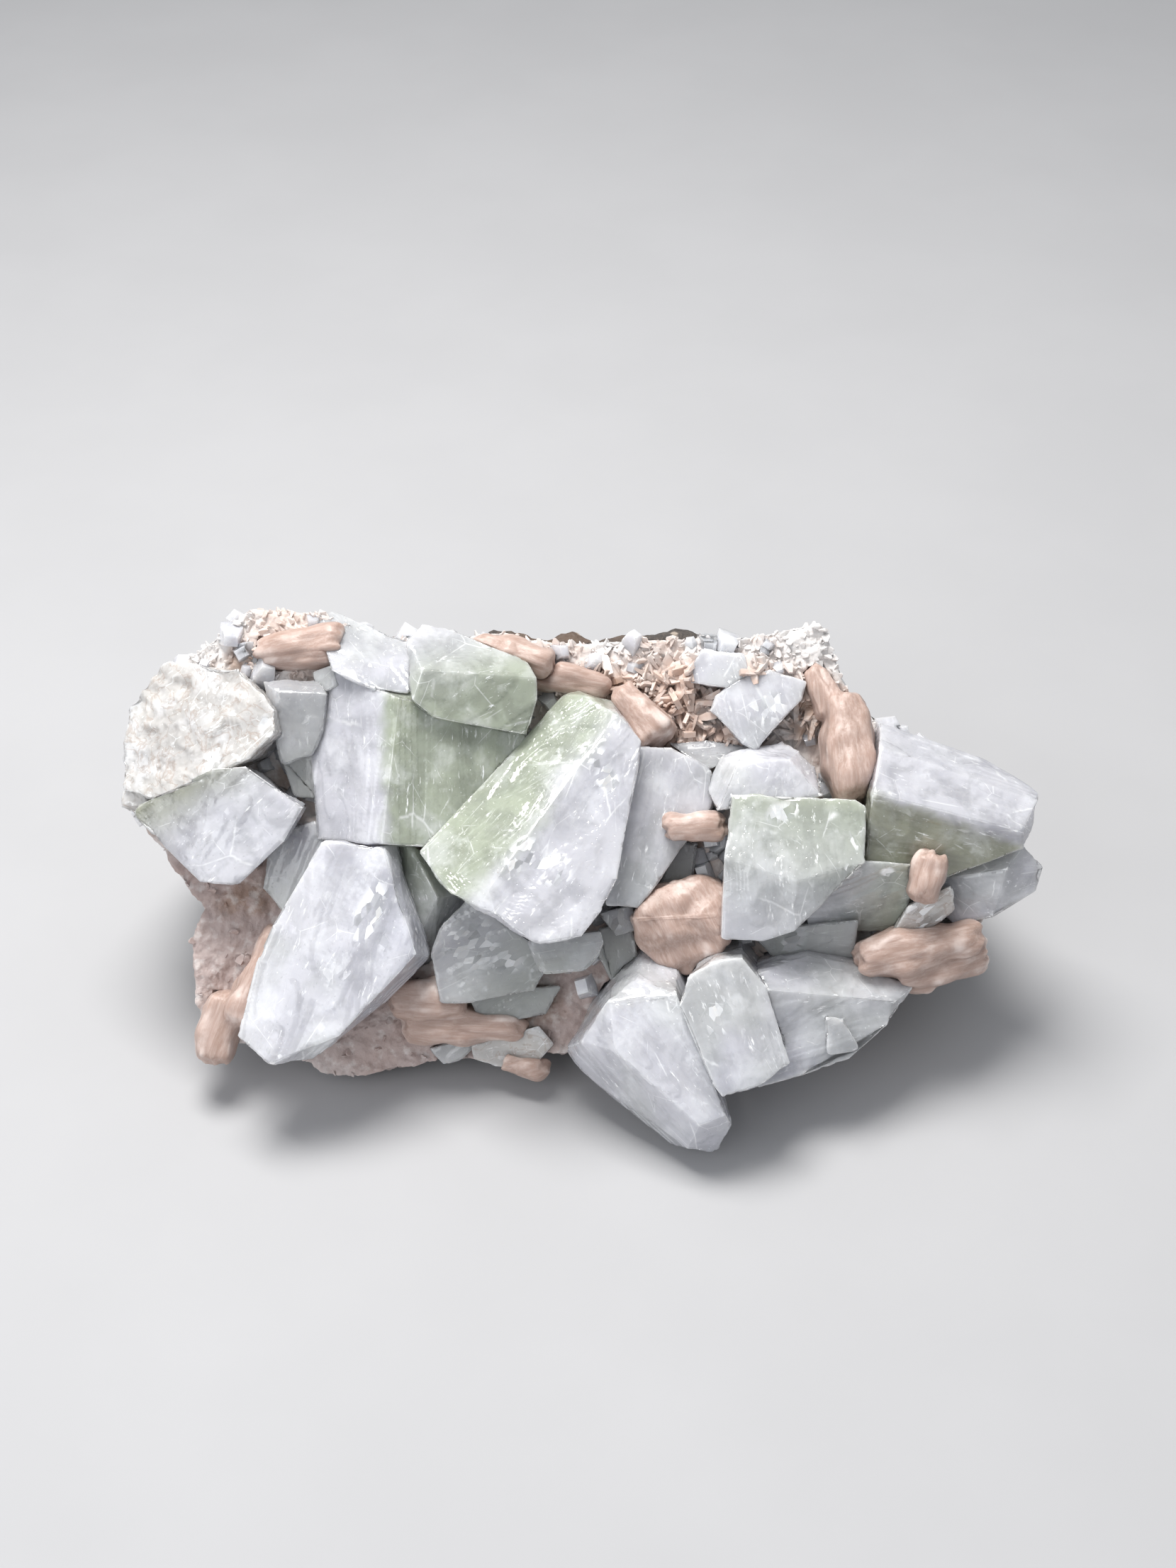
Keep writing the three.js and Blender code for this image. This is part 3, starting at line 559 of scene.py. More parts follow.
def seen_at(place):
    """Where a point is seen on the crystal face, in millimetres right and up from its middle."""
    offset = (place - FACE_MIDDLE) / MM
    nearer = 1 - offset.dot(OUT) * MM / VIEW_DISTANCE
    return offset.dot(RIGHT) / nearer, offset.dot(UP) / nearer


def veil_share(place):
    """How thick the fractures are at a point."""
    x, y = seen_at(place)
    share = 0.0
    for spot in VEILS:
        turn = math.radians(spot["turn"])
        right, up = x - spot["at"][0], y - spot["at"][1]
        u = (right * math.cos(turn) + up * math.sin(turn)) / spot["size"][0]
        v = (up * math.cos(turn) - right * math.sin(turn)) / spot["size"][1]
        share = max(share, smooth(math.hypot(u, v), 1.35, 0.7))
    return share


def crystal_axes(look):
    """A crystal's own directions: across it, along its axis, and out of the face."""
    along = heading(look.axis)
    return along.cross(OUT).normalized(), along, OUT


def crystal_tones(settings, tone):
    """The deep and the pale colour of a tone."""
    return {
        "green": (settings.green, settings.milk),
        "olive": (settings.olive, settings.milk),
        "white": (settings.grey, settings.milk),
        "pearl": (Vector(settings.pearl) * 0.85, settings.pearl),
        "clear": (settings.smoke, settings.milk),
        "frost": (settings.milk, settings.milk),
    }[tone]


def fractures(tree, own, size):
    """Flat shards that tilt at random: a number for each one, and their relief in metres."""
    voronoi = add_node(tree, "ShaderNodeTexVoronoi", {"Vector": own, "Scale": 1 / size})
    offset = vectors(tree, "SUBTRACT", own, voronoi.outputs["Position"])
    lean = vectors(tree, "SUBTRACT", voronoi.outputs["Color"], (0.5, 0.5, 0.5))
    height = vectors(tree, "DOT_PRODUCT", offset, lean, output="Value")
    number = add_node(tree, "ShaderNodeSeparateColor", {0: voronoi.outputs["Color"]}).outputs[1]
    return number, height


def crystal_material(name, centre, reach, look, settings, seed):
    """Zoned, milky glass with growth lines, clouds, fractures, a few stains and white chipped edges; the pale
    side of the zoning is partly a painted reflection of the light, fracture facets and small specks carry
    painted glints and shade, and pearly ends have painted shade in thin creases.
    """
    haze = HAZE[look.tone]
    material, tree, shader = new_material(
        name,
        ior=APOPHYLLITE_IOR,
        subsurface_weight=haze["scatter"],
        subsurface_scale=CRYSTAL_SCATTER_DEPTH,
        coat_weight=0.6,
        coat_roughness=0.05,
    )
    own = place_on(tree, centre, crystal_axes(look))
    shift = seed * CRYSTAL_PATTERN_STEP
    own = vectors(tree, "ADD", own, (shift, 0, 0))
    towards = heading(look.side)
    across, along, _ = crystal_axes(look)
    side = Vector((towards.dot(across), towards.dot(along), 0)) / reach
    dot = vectors(tree, "DOT_PRODUCT", own, side, output="Value")
    wobble = maths(tree, "MULTIPLY", maths(tree, "SUBTRACT", cloud(tree, own, 8 * MM), 0.5), 0.35)
    zone_and_reflection = maths(tree, "ADD", maths(tree, "SUBTRACT", dot, shift * side.x), wobble)
    deep, pale = crystal_tones(settings, look.tone)
    # Deep to pale across the crystal: partly real colour zoning, partly a painted reflection of the light on
    # the pale side.
    tint = mixed(tree, ranged(tree, zone_and_reflection, *look.pales), deep, pale)
    if look.tone in ("white", "clear"):
        drift = maths(tree, "MULTIPLY", ranged(tree, cloud(tree, own, 20 * MM, 2), 0.4, 0.65), 0.25)
        tint = mixed(tree, drift, tint, settings.green)
    depth = ranged(tree, cloud(tree, own, 12 * MM, 5, 0.6, 0.6), 0.35, 0.65)
    tint = mixed(tree, maths(tree, "MULTIPLY", depth, 0.24), tint, settings.grey, "MULTIPLY")
    mist = ranged(tree, cloud(tree, own, 9 * MM, 5, 0.6, 0.4), 0.46, 0.7)
    tint = mixed(tree, maths(tree, "MULTIPLY", mist, haze["clouds"]), tint, CLOUD_WHITE)
    wisp = ranged(tree, cloud(tree, stretched(tree, own, (1, 0.16, 1)), 0.9 * MM, 4, 0.7), 0.58, 0.7)
    wisp = maths(tree, "MULTIPLY", wisp, ranged(tree, cloud(tree, own, 7 * MM), 0.46, 0.62))
    tint = mixed(tree, wisp, tint, WISP_AND_GLINT_WHITE)
    stain = ranged(tree, cloud(tree, own, 3.5 * MM, 6, 0.7), 0.69, 0.76)
    tint = mixed(tree, maths(tree, "MULTIPLY", stain, 0.4), tint, STAIN_BROWN)
    if look.tone == "pearl":
        # Thin brown lines on the pearly ends: painted shade in their creases
        ripple = maths(tree, "ABSOLUTE", maths(tree, "SUBTRACT", cloud(tree, own, 5 * MM, 5, 0.55, 0.8), 0.5))
        crease = maths(tree, "MULTIPLY", ranged(tree, ripple, 0.03, 0.0), 0.45)
        tint = mixed(tree, crease, tint, CREASE_SHADE_BROWN)
    for size, stretch in ((15 * MM, (1, 0.35, 1)), (8 * MM, (1, 0.7, 1.3))):
        bent = vectors(tree, "ADD", own, (size, size, 0))
        edge = cells(tree, stretched(tree, bent, stretch), size, feature="DISTANCE_TO_EDGE")
        crack = maths(tree, "MULTIPLY", ranged(tree, edge, 0.012, 0.0), 0.55)
        crack = maths(tree, "MULTIPLY", crack, ranged(tree, cloud(tree, own, size * 0.7), 0.5, 0.6))
        tint = mixed(tree, crack, tint, (0.97, 0.98, 0.99))
    # Tiny white specks: painted glints of small fractures catching the light
    speck = maths(tree, "MULTIPLY", ranged(tree, cells(tree, own, 1.3 * MM), 0.13, 0.07), 0.7)
    speck = maths(tree, "MULTIPLY", speck, ranged(tree, cloud(tree, own, 4 * MM), 0.45, 0.6))
    tint = mixed(tree, speck, tint, WISP_AND_GLINT_WHITE)
    # Fractures: thick where the mesh is painted with them, and here and there elsewhere; each facet, by its
    # number, is painted white as a glint, grey as shade, or neither
    painted = add_node(tree, "ShaderNodeAttribute", attribute_name="veil").outputs["Fac"]
    stray = ranged(tree, cloud(tree, own, 6 * MM, 4, 0.6), 0.56, 0.72, 0.0, haze["fractures"])
    broken = maths(tree, "MAXIMUM", painted, stray)
    number, facets = fractures(tree, stretched(tree, own, (1, 0.5, 1)), 1.15 * MM)
    shard = maths(tree, "MULTIPLY", broken, ranged(tree, number, 0.36, 0.44), clamp=True)
    shine = maths(tree, "MULTIPLY", shard, ranged(tree, number, 0.45, 0.9, 0.1, 0.9))
    shade = maths(tree, "MULTIPLY", shard, ranged(tree, number, 0.75, 0.4, 0.0, 0.35))
    # Facets that miss the light get painted grey shade, those that catch it a painted white glint
    tint = mixed(tree, shade, tint, FACET_SHADE_GREY)
    tint = mixed(tree, shine, tint, (0.97, 0.98, 1.0))
    wear = add_node(tree, "ShaderNodeAttribute", attribute_name="edge_wear").outputs["Fac"]
    wear = maths(tree, "MULTIPLY", wear, ranged(tree, cloud(tree, own, 2.2 * MM, 5), 0.35, 0.62))
    tint = mixed(tree, maths(tree, "MULTIPLY", wear, 0.75), tint, (0.95, 0.96, 0.97))
    tree.links.new(tint, shader.inputs["Base Color"])
    least, most = haze["glass"]
    if least == most:
        shader.inputs["Transmission Weight"].default_value = most
    else:
        # The glass is clear in some places and milky in others, and milky under every painted fracture glint
        # and chip
        window = ranged(tree, cloud(tree, own, 7 * MM, 3, 0.55, 0.5), 0.42, 0.6, least, most)
        milkiness = maths(tree, "MAXIMUM", shine, wear)
        milkiness = maths(tree, "MAXIMUM", maths(tree, "MULTIPLY", mist, 0.5), milkiness)
        milkiness = maths(tree, "MAXIMUM", milkiness, wisp)
        window = maths(tree, "MULTIPLY", window, maths(tree, "SUBTRACT", 1.0, milkiness), clamp=True)
        tree.links.new(window, shader.inputs["Transmission Weight"])
    dull = ranged(tree, cloud(tree, own, 6 * MM, 6, 0.65), 0.42, 0.7, 0.07, 0.24)
    dull = maths(tree, "MULTIPLY", dull, ranged(tree, shard, 0.0, 1.0, 1.0, 0.4))
    rough = maths(tree, "ADD", dull, maths(tree, "MULTIPLY", wear, 0.25), clamp=True)
    tree.links.new(rough, shader.inputs["Roughness"])
    lines = cloud(tree, stretched(tree, own, (1, 0.05, 1)), 0.5 * MM, 3, 0.6)
    relief = bumped(tree, lines, 0.06 * MM, 0.5)
    level = maths(tree, "SNAP", cloud(tree, stretched(tree, own, (1, 0.1, 1)), 4 * MM, 3, 0.5), 0.11)
    relief = bumped(tree, level, 1.0 * MM, 0.4, relief)
    squares = cells(tree, stretched(tree, own, (1, 0.6, 1)), 7 * MM, distance="CHEBYCHEV")
    relief = bumped(tree, maths(tree, "SNAP", squares, 0.12), 0.8 * MM, 0.5, relief)
    hatch = cloud(tree, stretched(tree, own, (0.06, 1, 1)), 0.7 * MM, 2, 0.5)
    relief = bumped(tree, hatch, 0.05 * MM, 0.4, relief)
    pit = ranged(tree, cells(tree, own, 1.1 * MM), 0.0, 0.22)
    relief = bumped(tree, pit, 0.12 * MM, 0.5, relief)
    relief = bumped(tree, facets, 1.6, shard, relief)
    tree.links.new(relief, shader.inputs["Normal"])
    if look.tone == "clear":
        inputs = {"Color": colour4(settings.smoke), "Density": SMOKE_DENSITY}
        volume = add_node(tree, "ShaderNodeVolumeAbsorption", inputs)
        tree.links.new(volume.outputs[0], tree.nodes["Material Output"].inputs["Volume"])
    return material


def crystal_mesh(node, look, settings, seed):
    """The crystal's solid with worn, chipped edges and low growth terraces on its faces."""
    bm = solid_copy(node, merge=0.3 * MM)
    sharp = [e for e in bm.edges if e.is_manifold and e.calc_face_angle() > math.radians(8)]
    bmesh.ops.bevel(
        bm,
        geom=sharp,
        offset=settings.bevel,
        offset_type="OFFSET",
        segments=2,
        profile=0.6,
        affect="EDGES",
        clamp_overlap=True,
    )
    refine(bm, settings.step)
    wear = bm.verts.layers.float.new("edge_wear")
    veil = bm.verts.layers.float.new("veil")
    across, along, out = crystal_axes(look)
    start = Vector((seed * 17.3, seed * 5.1, 0))
    moves = []
    for vert in bm.verts:
        edge = edge_share(vert)
        place = vert.co / MM
        own = Vector((place.dot(across), place.dot(along), place.dot(out))) + start
        level = noise.noise(Vector((own.x * 0.17, own.y * 0.02, own.z * 0.17)))
        rise = settings.swell + math.floor(level * TERRACES) * settings.terrace * (1 - edge)
        chip = max(0.0, noise.cell(own * 0.55) - 0.7) + 0.5 * max(0.0, noise.noise(own * 0.4) - 0.25)
        rise -= chip * settings.chip * edge
        if look.wrinkled:
            x, y = seen_at(vert.co)
            fold = 1 - 2 * abs(noise.noise(own * 0.2)) - abs(noise.noise(own * 0.55))
            rise += (fold - 0.7) * settings.wrinkle * smooth(x, -64, -76)
        vert[wear] = edge
        vert[veil] = veil_share(vert.co)
        moves.append(vert.normal * rise)
    displace(bm, moves)
    return bm


def grow_crystals(tones):
    """Makes the fine crystals of some tones."""
    settings = bpy.context.scene.mineral_crystals
    for seed, (node, look) in enumerate(CRYSTALS.items()):
        if look.tone not in tones:
            continue
        low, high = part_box(node)
        place = ((low + high) / 2, max(high - low) / 2, look, settings)
        material = crystal_material(node, *place, seed)
        bm = crystal_mesh(node, look, settings, seed)
        finished(f"{node}_fine", bm, material, SLOTS[look.tone], node)


class MINERAL_OT_green_crystals(bpy.types.Operator):
    """Make the green and olive apophyllite crystals"""

    bl_idname = "mineral.green_crystals"
    bl_label = "Green Crystals"

    def execute(self, context):
        grow_crystals(("green", "olive"))
        return {"FINISHED"}


class MINERAL_OT_white_crystals(bpy.types.Operator):
    """Make the milky and pearly apophyllite crystals"""

    bl_idname = "mineral.white_crystals"
    bl_label = "White Crystals"

    def execute(self, context):
        grow_crystals(("white", "pearl"))
        return {"FINISHED"}


class MINERAL_OT_clear_crystals(bpy.types.Operator):
    """Make the clear and smoky apophyllite crystals"""

    bl_idname = "mineral.clear_crystals"
    bl_label = "Clear Crystals"

    def execute(self, context):
        grow_crystals(("clear",))
        return {"FINISHED"}


# Stilbite: the heading of each sheaf's ribs, and how far along its length they spread apart
SHEAVES = {
    "centre_sheaf": {"axis": 25, "spread": 0.5},
    "saddle_sheaf": {"axis": -85, "spread": 0.1},
    "tall_sheaf": {"axis": 5, "spread": 0.15},
    "fan_sheaf": {"axis": 40, "spread": 0.3},
    "rim_sheaf": {"axis": 70, "spread": 0.2},
    "hollow_sheaf": {"axis": 80, "spread": 0.2},
    "crown_sheaf": {"axis": -80, "spread": 0.2},
    "prism_sheaf": {"axis": -15, "spread": 0.1},
    "right_foot_sheaf": {"axis": -78, "spread": 0.25},
    "low_centre_sheaf": {"axis": -92, "spread": 0.2},
    "left_foot_sheaf": {"axis": -20, "spread": 0.3},
    "tail_sheaf": {"axis": -75, "spread": 0.2},
}
SHEAF_PATTERN_STEP = 0.21
SHEAF_SOFTENING = 24


def sheaf_material(node, centre, axes, seed, settings):
    """Peach, pearly blades: cream on their tops, tan painted as shade between them and as grime, with fine
    lines along them.
    """
    material, tree, shader = new_material(node, ior=1.5, subsurface_weight=0.6, subsurface_scale=3 * MM)
    own = place_on(tree, centre, axes)
    own = vectors(tree, "ADD", own, (seed * SHEAF_PATTERN_STEP, 0, 0))
    rib = add_node(tree, "ShaderNodeAttribute", attribute_name="rib").outputs["Fac"]
    # Tan in the grooves between the ribs is painted shade
    tint = mixed(tree, ranged(tree, rib, 0.0, 0.4, 0.5, 1.0), settings.tan, settings.peach)
    pale = ranged(tree, cloud(tree, own, 6 * MM, 4), 0.42, 0.68)
    tint = mixed(tree, maths(tree, "MULTIPLY", pale, ranged(tree, rib, 0.3, 0.9)), tint, settings.cream)
    fibres = cloud(tree, stretched(tree, own, (1, 0.07, 1)), 0.45 * MM, 4, 0.65)
    tint = mixed(tree, ranged(tree, fibres, 0.4, 0.7, 0.0, 0.3), tint, settings.cream)
    grime = ranged(tree, cloud(tree, own, 2.6 * MM, 6, 0.7), 0.6, 0.75)
    tint = mixed(tree, maths(tree, "MULTIPLY", grime, 0.45), tint, settings.tan)
    tree.links.new(tint, shader.inputs["Base Color"])
    tree.links.new(ranged(tree, fibres, 0.3, 0.7, 0.28, 0.5), shader.inputs["Roughness"])
    relief = bumped(tree, fibres, 0.12 * MM, 0.5)
    relief = bumped(tree, cloud(tree, own, 1.6 * MM, 5, 0.6), 0.25 * MM, 0.5, relief)
    tree.links.new(relief, shader.inputs["Normal"])
    return material


def sheaf_mesh(node, look, settings, seed):
    """The sheaf's solid, rounded off and split into blades that run along it and end apart."""
    bm = solid_copy(node)
    refine(bm, settings.step)
    soften(bm, SHEAF_SOFTENING)
    low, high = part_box(node)
    centre = (low + high) / 2
    along = heading(look["axis"])
    across = along.cross(OUT).normalized()
    reach = max(abs((vert.co - centre).dot(along)) for vert in bm.verts)
    layer = bm.verts.layers.float.new("rib")
    moves = []
    for vert in bm.verts:
        place = (vert.co - centre) / MM
        u = place.dot(along)
        fan = 1 + look["spread"] * abs(u) / (reach / MM)
        v = place.dot(across) / fan
        w = place.dot(OUT) / fan
        coarse = abs(noise.noise(Vector((u * 0.05 + seed * 9, v * 0.3, w * 0.3))))
        fine = abs(noise.noise(Vector((u * 0.09, v * 0.8 + seed * 4, w * 0.8))))
        rib = min(1.0, 2.2 * coarse) * 0.65 + min(1.0, 2.2 * fine) * 0.35
        end = smooth(abs(u) * MM / reach, 0.6, 0.95) * math.copysign(1, u)
        ragged = noise.noise(Vector((seed * 3.1 + math.copysign(7, u), v * 0.7, w * 0.7)))
        vert[layer] = rib
        lump = noise.noise(Vector((u * 0.22 + seed * 5, v * 0.26, w * 0.26))) * settings.lump
        height = lump + (rib - 0.5) * settings.rib + settings.swell
        moves.append(vert.normal * height + along * end * ragged * settings.ragged)
    displace(bm, moves)
    return bm, centre, (across, along, OUT)


class MINERAL_OT_stilbite_sheaves(bpy.types.Operator):
    """Make the peach stilbite sheaves"""

    bl_idname = "mineral.stilbite_sheaves"
    bl_label = "Stilbite Sheaves"

    def execute(self, context):
        settings = context.scene.mineral_sheaves
        for seed, (node, look) in enumerate(SHEAVES.items()):
            bm, centre, axes = sheaf_mesh(node, look, settings, seed)
            material = sheaf_material(node, centre, axes, seed, settings)
            finished(f"{node}_fine", bm, material, "stilbite", node)
        return {"FINISHED"}


# Crust: places on the face with their own colour and druse, and pockets painted brown with stain and shade,
# as middle and half sizes in millimetres
HOLLOW = {"at": (21, 16), "size": (31, 11)}
DUSKY = [
    {"at": (-76, -26), "size": (17, 24)},
    {"at": (-38, -50), "size": (34, 14)},
    {"at": (4, -44), "size": (16, 16)},
]
# Pockets deep between the crystals, painted brown: stain mixed with painted shade
STAIN_AND_SHADE_SPOTS = [
    {"at": (-66, 0), "size": (5, 5)},
    {"at": (18, -13), "size": (6, 6)},
    {"at": (-71, 24), "size": (5, 6)},
    {"at": (48, 13), "size": (6, 6)},
    {"at": (-72, -24), "size": (6, 5)},
    {"at": (3, 20), "size": (5, 4)},
    {"at": (-20, -46), "size": (16, 6)},
]


def near(tree, own, spot):
    """1 in the middle of a place on the face, falling to 0 past its edge."""
    (x, y), (half_x, half_y) = spot["at"], spot["size"]
    offset = vectors(tree, "SUBTRACT", own, (x * MM, y * MM, 0))
    offset = vectors(tree, "MULTIPLY", offset, (1000 / half_x, 1000 / half_y, 0))
    distance = vectors(tree, "LENGTH", offset, output="Value")
    return ranged(tree, distance, 1.3, 0.6)


def crust_material(name, settings, depth_of_relief, shine):
    """White to peach druse, peach in the hollow, brown specks of dirt, and brown in the pockets between the
    crystals, stain mixed with painted shade.
    """
    material, tree, shader = new_material(name, ior=1.5, subsurface_weight=0.3, subsurface_scale=1.5 * MM)
    own = place_on(tree, FACE_MIDDLE, (RIGHT, UP, OUT))
    peach = near(tree, own, HOLLOW)
    wobble = cloud(tree, own, 9 * MM, 5)
    peach = maths(tree, "MULTIPLY", peach, ranged(tree, wobble, 0.25, 0.5), clamp=True)
    drift = maths(tree, "MULTIPLY", ranged(tree, cloud(tree, own, 16 * MM, 3), 0.45, 0.62), 0.6)
    tint = mixed(tree, maths(tree, "MAXIMUM", peach, drift), settings.white, settings.peach)
    for spot in DUSKY:
        tint = mixed(tree, maths(tree, "MULTIPLY", near(tree, own, spot), 0.85), tint, settings.mauve)
    # Brown in the pockets between the crystals: stain mixed with painted shade
    for spot in STAIN_AND_SHADE_SPOTS:
        stain = maths(tree, "MULTIPLY", near(tree, own, spot), 0.6)
        stain = maths(tree, "MULTIPLY", stain, ranged(tree, cloud(tree, own, 4 * MM, 5), 0.35, 0.6))
        tint = mixed(tree, stain, tint, settings.brown)
    speck = ranged(tree, cloud(tree, own, 1.4 * MM, 6, 0.7), 0.6, 0.72)
    tint = mixed(tree, maths(tree, "MULTIPLY", speck, 0.12), tint, settings.brown)
    sparkle = ranged(tree, cloud(tree, own, 2.5 * MM, 4), 0.5, 0.7)
    tint = mixed(tree, maths(tree, "MULTIPLY", sparkle, 0.4), tint, (0.86, 0.84, 0.82))
    tree.links.new(tint, shader.inputs["Base Color"])
    tree.links.new(ranged(tree, sparkle, 0, 1, shine, shine + 0.25), shader.inputs["Roughness"])
    relief = bumped(tree, cells(tree, own, 2.2 * MM), depth_of_relief, 0.6)
    relief = bumped(tree, cloud(tree, own, 1.1 * MM, 5), depth_of_relief, 0.5, relief)
    tree.links.new(relief, shader.inputs["Normal"])
    return material


class MINERAL_OT_zeolite_crust(bpy.types.Operator):
    """Make the lumpy crust under the crystals"""

    bl_idname = "mineral.zeolite_crust"
    bl_label = "Zeolite Crust"

    def execute(self, context):
        settings = context.scene.mineral_crust
        bm = solid_copy("zeolite_crust")
        refine(bm, settings.step, lambda face: face.normal.dot(OUT) > -0.5)
        moves = []
        for vert in bm.verts:
            place = vert.co / MM
            shown = smooth(vert.normal.dot(OUT), -0.6, 0.1)
            lump = rumpled(place, (1, 0.35), (0.5, 0.9), (0.35, 2.1))
            moves.append(vert.normal * lump * settings.lump * 0.6 * shown)
        displace(bm, moves)
        material = crust_material("crust", settings, 0.5 * MM, 0.45)
        finished("zeolite_crust_fine", bm, material, "zeolite_crust", "zeolite_crust")
        return {"FINISHED"}


def group_input(tree, name, kind, value):
    """A named input of a node group, with its default."""
    socket = tree.interface.new_socket(name=name, in_out="INPUT", socket_type=kind)
    if value is not None:
        socket.default_value = value


def druse_tree(name, density_layer):
    """Nodes that stand pointed blades all over a mesh, thickest where a layer of it says."""
    tree = bpy.data.node_groups.new(name, "GeometryNodeTree")
    group_input(tree, "Geometry", "NodeSocketGeometry", None)
    group_input(tree, "Per square metre", "NodeSocketFloat", 100000.0)
    group_input(tree, "Length", "NodeSocketFloat", 2 * MM)
    group_input(tree, "Slimness", "NodeSocketFloat", 3.0)
    group_input(tree, "Flatness", "NodeSocketFloat", 0.45)
    group_input(tree, "Taper", "NodeSocketFloat", 0.7)
    group_input(tree, "Lean", "NodeSocketFloat", 0.7)
    group_input(tree, "Seed", "NodeSocketInt", 1)
    group_input(tree, "Finish", "NodeSocketMaterial", None)
    tree.interface.new_socket(name="Geometry", in_out="OUTPUT", socket_type="NodeSocketGeometry")
    given = add_node(tree, "NodeGroupInput").outputs
    layer = add_node(tree, "GeometryNodeInputNamedAttribute", {"Name": density_layer}, data_type="FLOAT")
    density = maths(tree, "MULTIPLY", layer.outputs["Attribute"], given["Per square metre"])
    inputs = {"Mesh": given["Geometry"], "Density": density, "Seed": given["Seed"]}
    points = add_node(tree, "GeometryNodeDistributePointsOnFaces", inputs, distribute_method="RANDOM")
    box_size = add_node(tree, "ShaderNodeCombineXYZ", {0: 1.0, 1: given["Flatness"], 2: 1.0}).outputs[0]
    inputs = {"Size": box_size, "Vertices X": 2, "Vertices Y": 2, "Vertices Z": 3}
    box = add_node(tree, "GeometryNodeMeshCube", inputs)
    at = add_node(tree, "GeometryNodeInputPosition").outputs[0]
    height = add_node(tree, "ShaderNodeSeparateXYZ", {0: at}).outputs[2]
    is_tip = add_node(tree, "FunctionNodeCompare", {0: height, 1: 0.3}, operation="GREATER_THAN").outputs[0]
    pull = maths(tree, "MULTIPLY", given["Taper"], -1.0)
    pull = add_node(tree, "ShaderNodeCombineXYZ", {0: pull, 1: pull, 2: 0.0}).outputs[0]
    pulled = vectors(tree, "MULTIPLY", at, pull)
    inputs = {"Geometry": box.outputs[0], "Selection": is_tip, "Offset": pulled}
    blade = add_node(tree, "GeometryNodeSetPosition", inputs).outputs[0]
    width = maths(tree, "DIVIDE", given["Length"], given["Slimness"])
    size = add_node(tree, "ShaderNodeCombineXYZ", {0: width, 1: width, 2: given["Length"]}).outputs[0]
    share = add_node(
        tree,
        "FunctionNodeRandomValue",
        {2: 0.45, 3: 1.35, "Seed": given["Seed"]},
        data_type="FLOAT",
    ).outputs[1]
    size = add_node(tree, "ShaderNodeVectorMath", {0: size, "Scale": share}, operation="SCALE").outputs[0]
    inputs = {
        "Points": points.outputs["Points"],
        "Instance": blade,
        "Rotation": points.outputs["Rotation"],
        "Scale": size,
    }
    standing = add_node(tree, "GeometryNodeInstanceOnPoints", inputs).outputs[0]
    fan = add_node(tree, "ShaderNodeTexNoise", {"Vector": at, "Scale": 170.0, "Detail": 1.0}).outputs["Color"]
    fan = vectors(tree, "SUBTRACT", fan, (0.5, 0.5, 0.5))
    inputs = {0: fan, "Scale": given["Lean"]}
    fan = add_node(tree, "ShaderNodeVectorMath", inputs, operation="SCALE").outputs[0]
    stray = add_node(
        tree,
        "FunctionNodeRandomValue",
        {0: (-0.3, -0.3, -1.5), 1: (0.3, 0.3, 1.5), "Seed": given["Seed"]},
        data_type="FLOAT_VECTOR",
    ).outputs[0]
    lean = vectors(tree, "ADD", fan, stray)
    inputs = {"Instances": standing, "Rotation": lean}
    leaning = add_node(tree, "GeometryNodeRotateInstances", inputs).outputs[0]
    whole = add_node(tree, "GeometryNodeRealizeInstances", {"Geometry": leaning}).outputs[0]
    inputs = {"Geometry": whole, "Material": given["Finish"]}
    done = add_node(tree, "GeometryNodeSetMaterial", inputs).outputs[0]
    add_node(tree, "NodeGroupOutput", {"Geometry": done})
    return tree


def druse_mesh(name, ground, tree, values):
    """The plain mesh that the druse nodes make on a ground mesh."""
    carrier = bpy.data.objects.new(name, ground)
    bpy.context.scene.collection.objects.link(carrier)
    modifier = carrier.modifiers.new(name, "NODES")
    modifier.node_group = tree
    for item in tree.interface.items_tree:
        if item.in_out == "INPUT" and item.name in values:
            modifier[item.identifier] = values[item.name]
    depsgraph = bpy.context.evaluated_depsgraph_get()
    mesh = bpy.data.meshes.new_from_object(carrier.evaluated_get(depsgraph))
    mesh.name = name
    bpy.data.objects.remove(carrier)
    return mesh


def growth_ground(name, weigh):
    """The fine crust's mesh, with how thickly druse grows at each of its corners."""
    ground = bpy.data.objects["zeolite_crust_fine"].data.copy()
    ground.name = name
    layer = ground.attributes.new("growth", "FLOAT", "POINT")
    for vert, value in zip(ground.vertices, layer.data):
        offset = (vert.co - FACE_MIDDLE) / MM
        facing = smooth(vert.normal.dot(OUT), 0.0, 0.5)
        value.value = facing * weigh(offset.dot(RIGHT), offset.dot(UP), offset.dot(OUT))
    return ground


def in_hollow(x, y):
    """How much a place belongs to the hollow at the top."""
    (middle_x, middle_y), (half_x, half_y) = HOLLOW["at"], HOLLOW["size"]
    return smooth(math.hypot((x - middle_x) / half_x, (y - middle_y) / half_y), 1.1, 0.7)


def over_root(out):
    """1 where the crust rises over the crystals' roots, and so isn't under one."""
    return smooth(out, 4.6, 5.2)


def blade_growth(x, y, out):
    """Peach blades fill the hollow."""
    return over_root(out) * in_hollow(x, y)


def grain_growth(x, y, out):
    """White grains cover the crust along the top, and are rare elsewhere."""
    return over_root(out) * (1 - in_hollow(x, y)) * max(smooth(y, 10, 18), 0.05)


def small_growth(x, y, out):
    """Small crystals fill the gaps, crowd the upper left and leave the lower left and the bottom bare."""
    lower_left = smooth(x, -40, -50) * smooth(y, 0, -10)
    crowd = 1 + 0.5 * smooth(x, -48, -56) * smooth(y, 12, 20)
    return (1 - in_hollow(x, y)) * (1 - 0.93 * lower_left) * smooth(y, -48, -40) * crowd


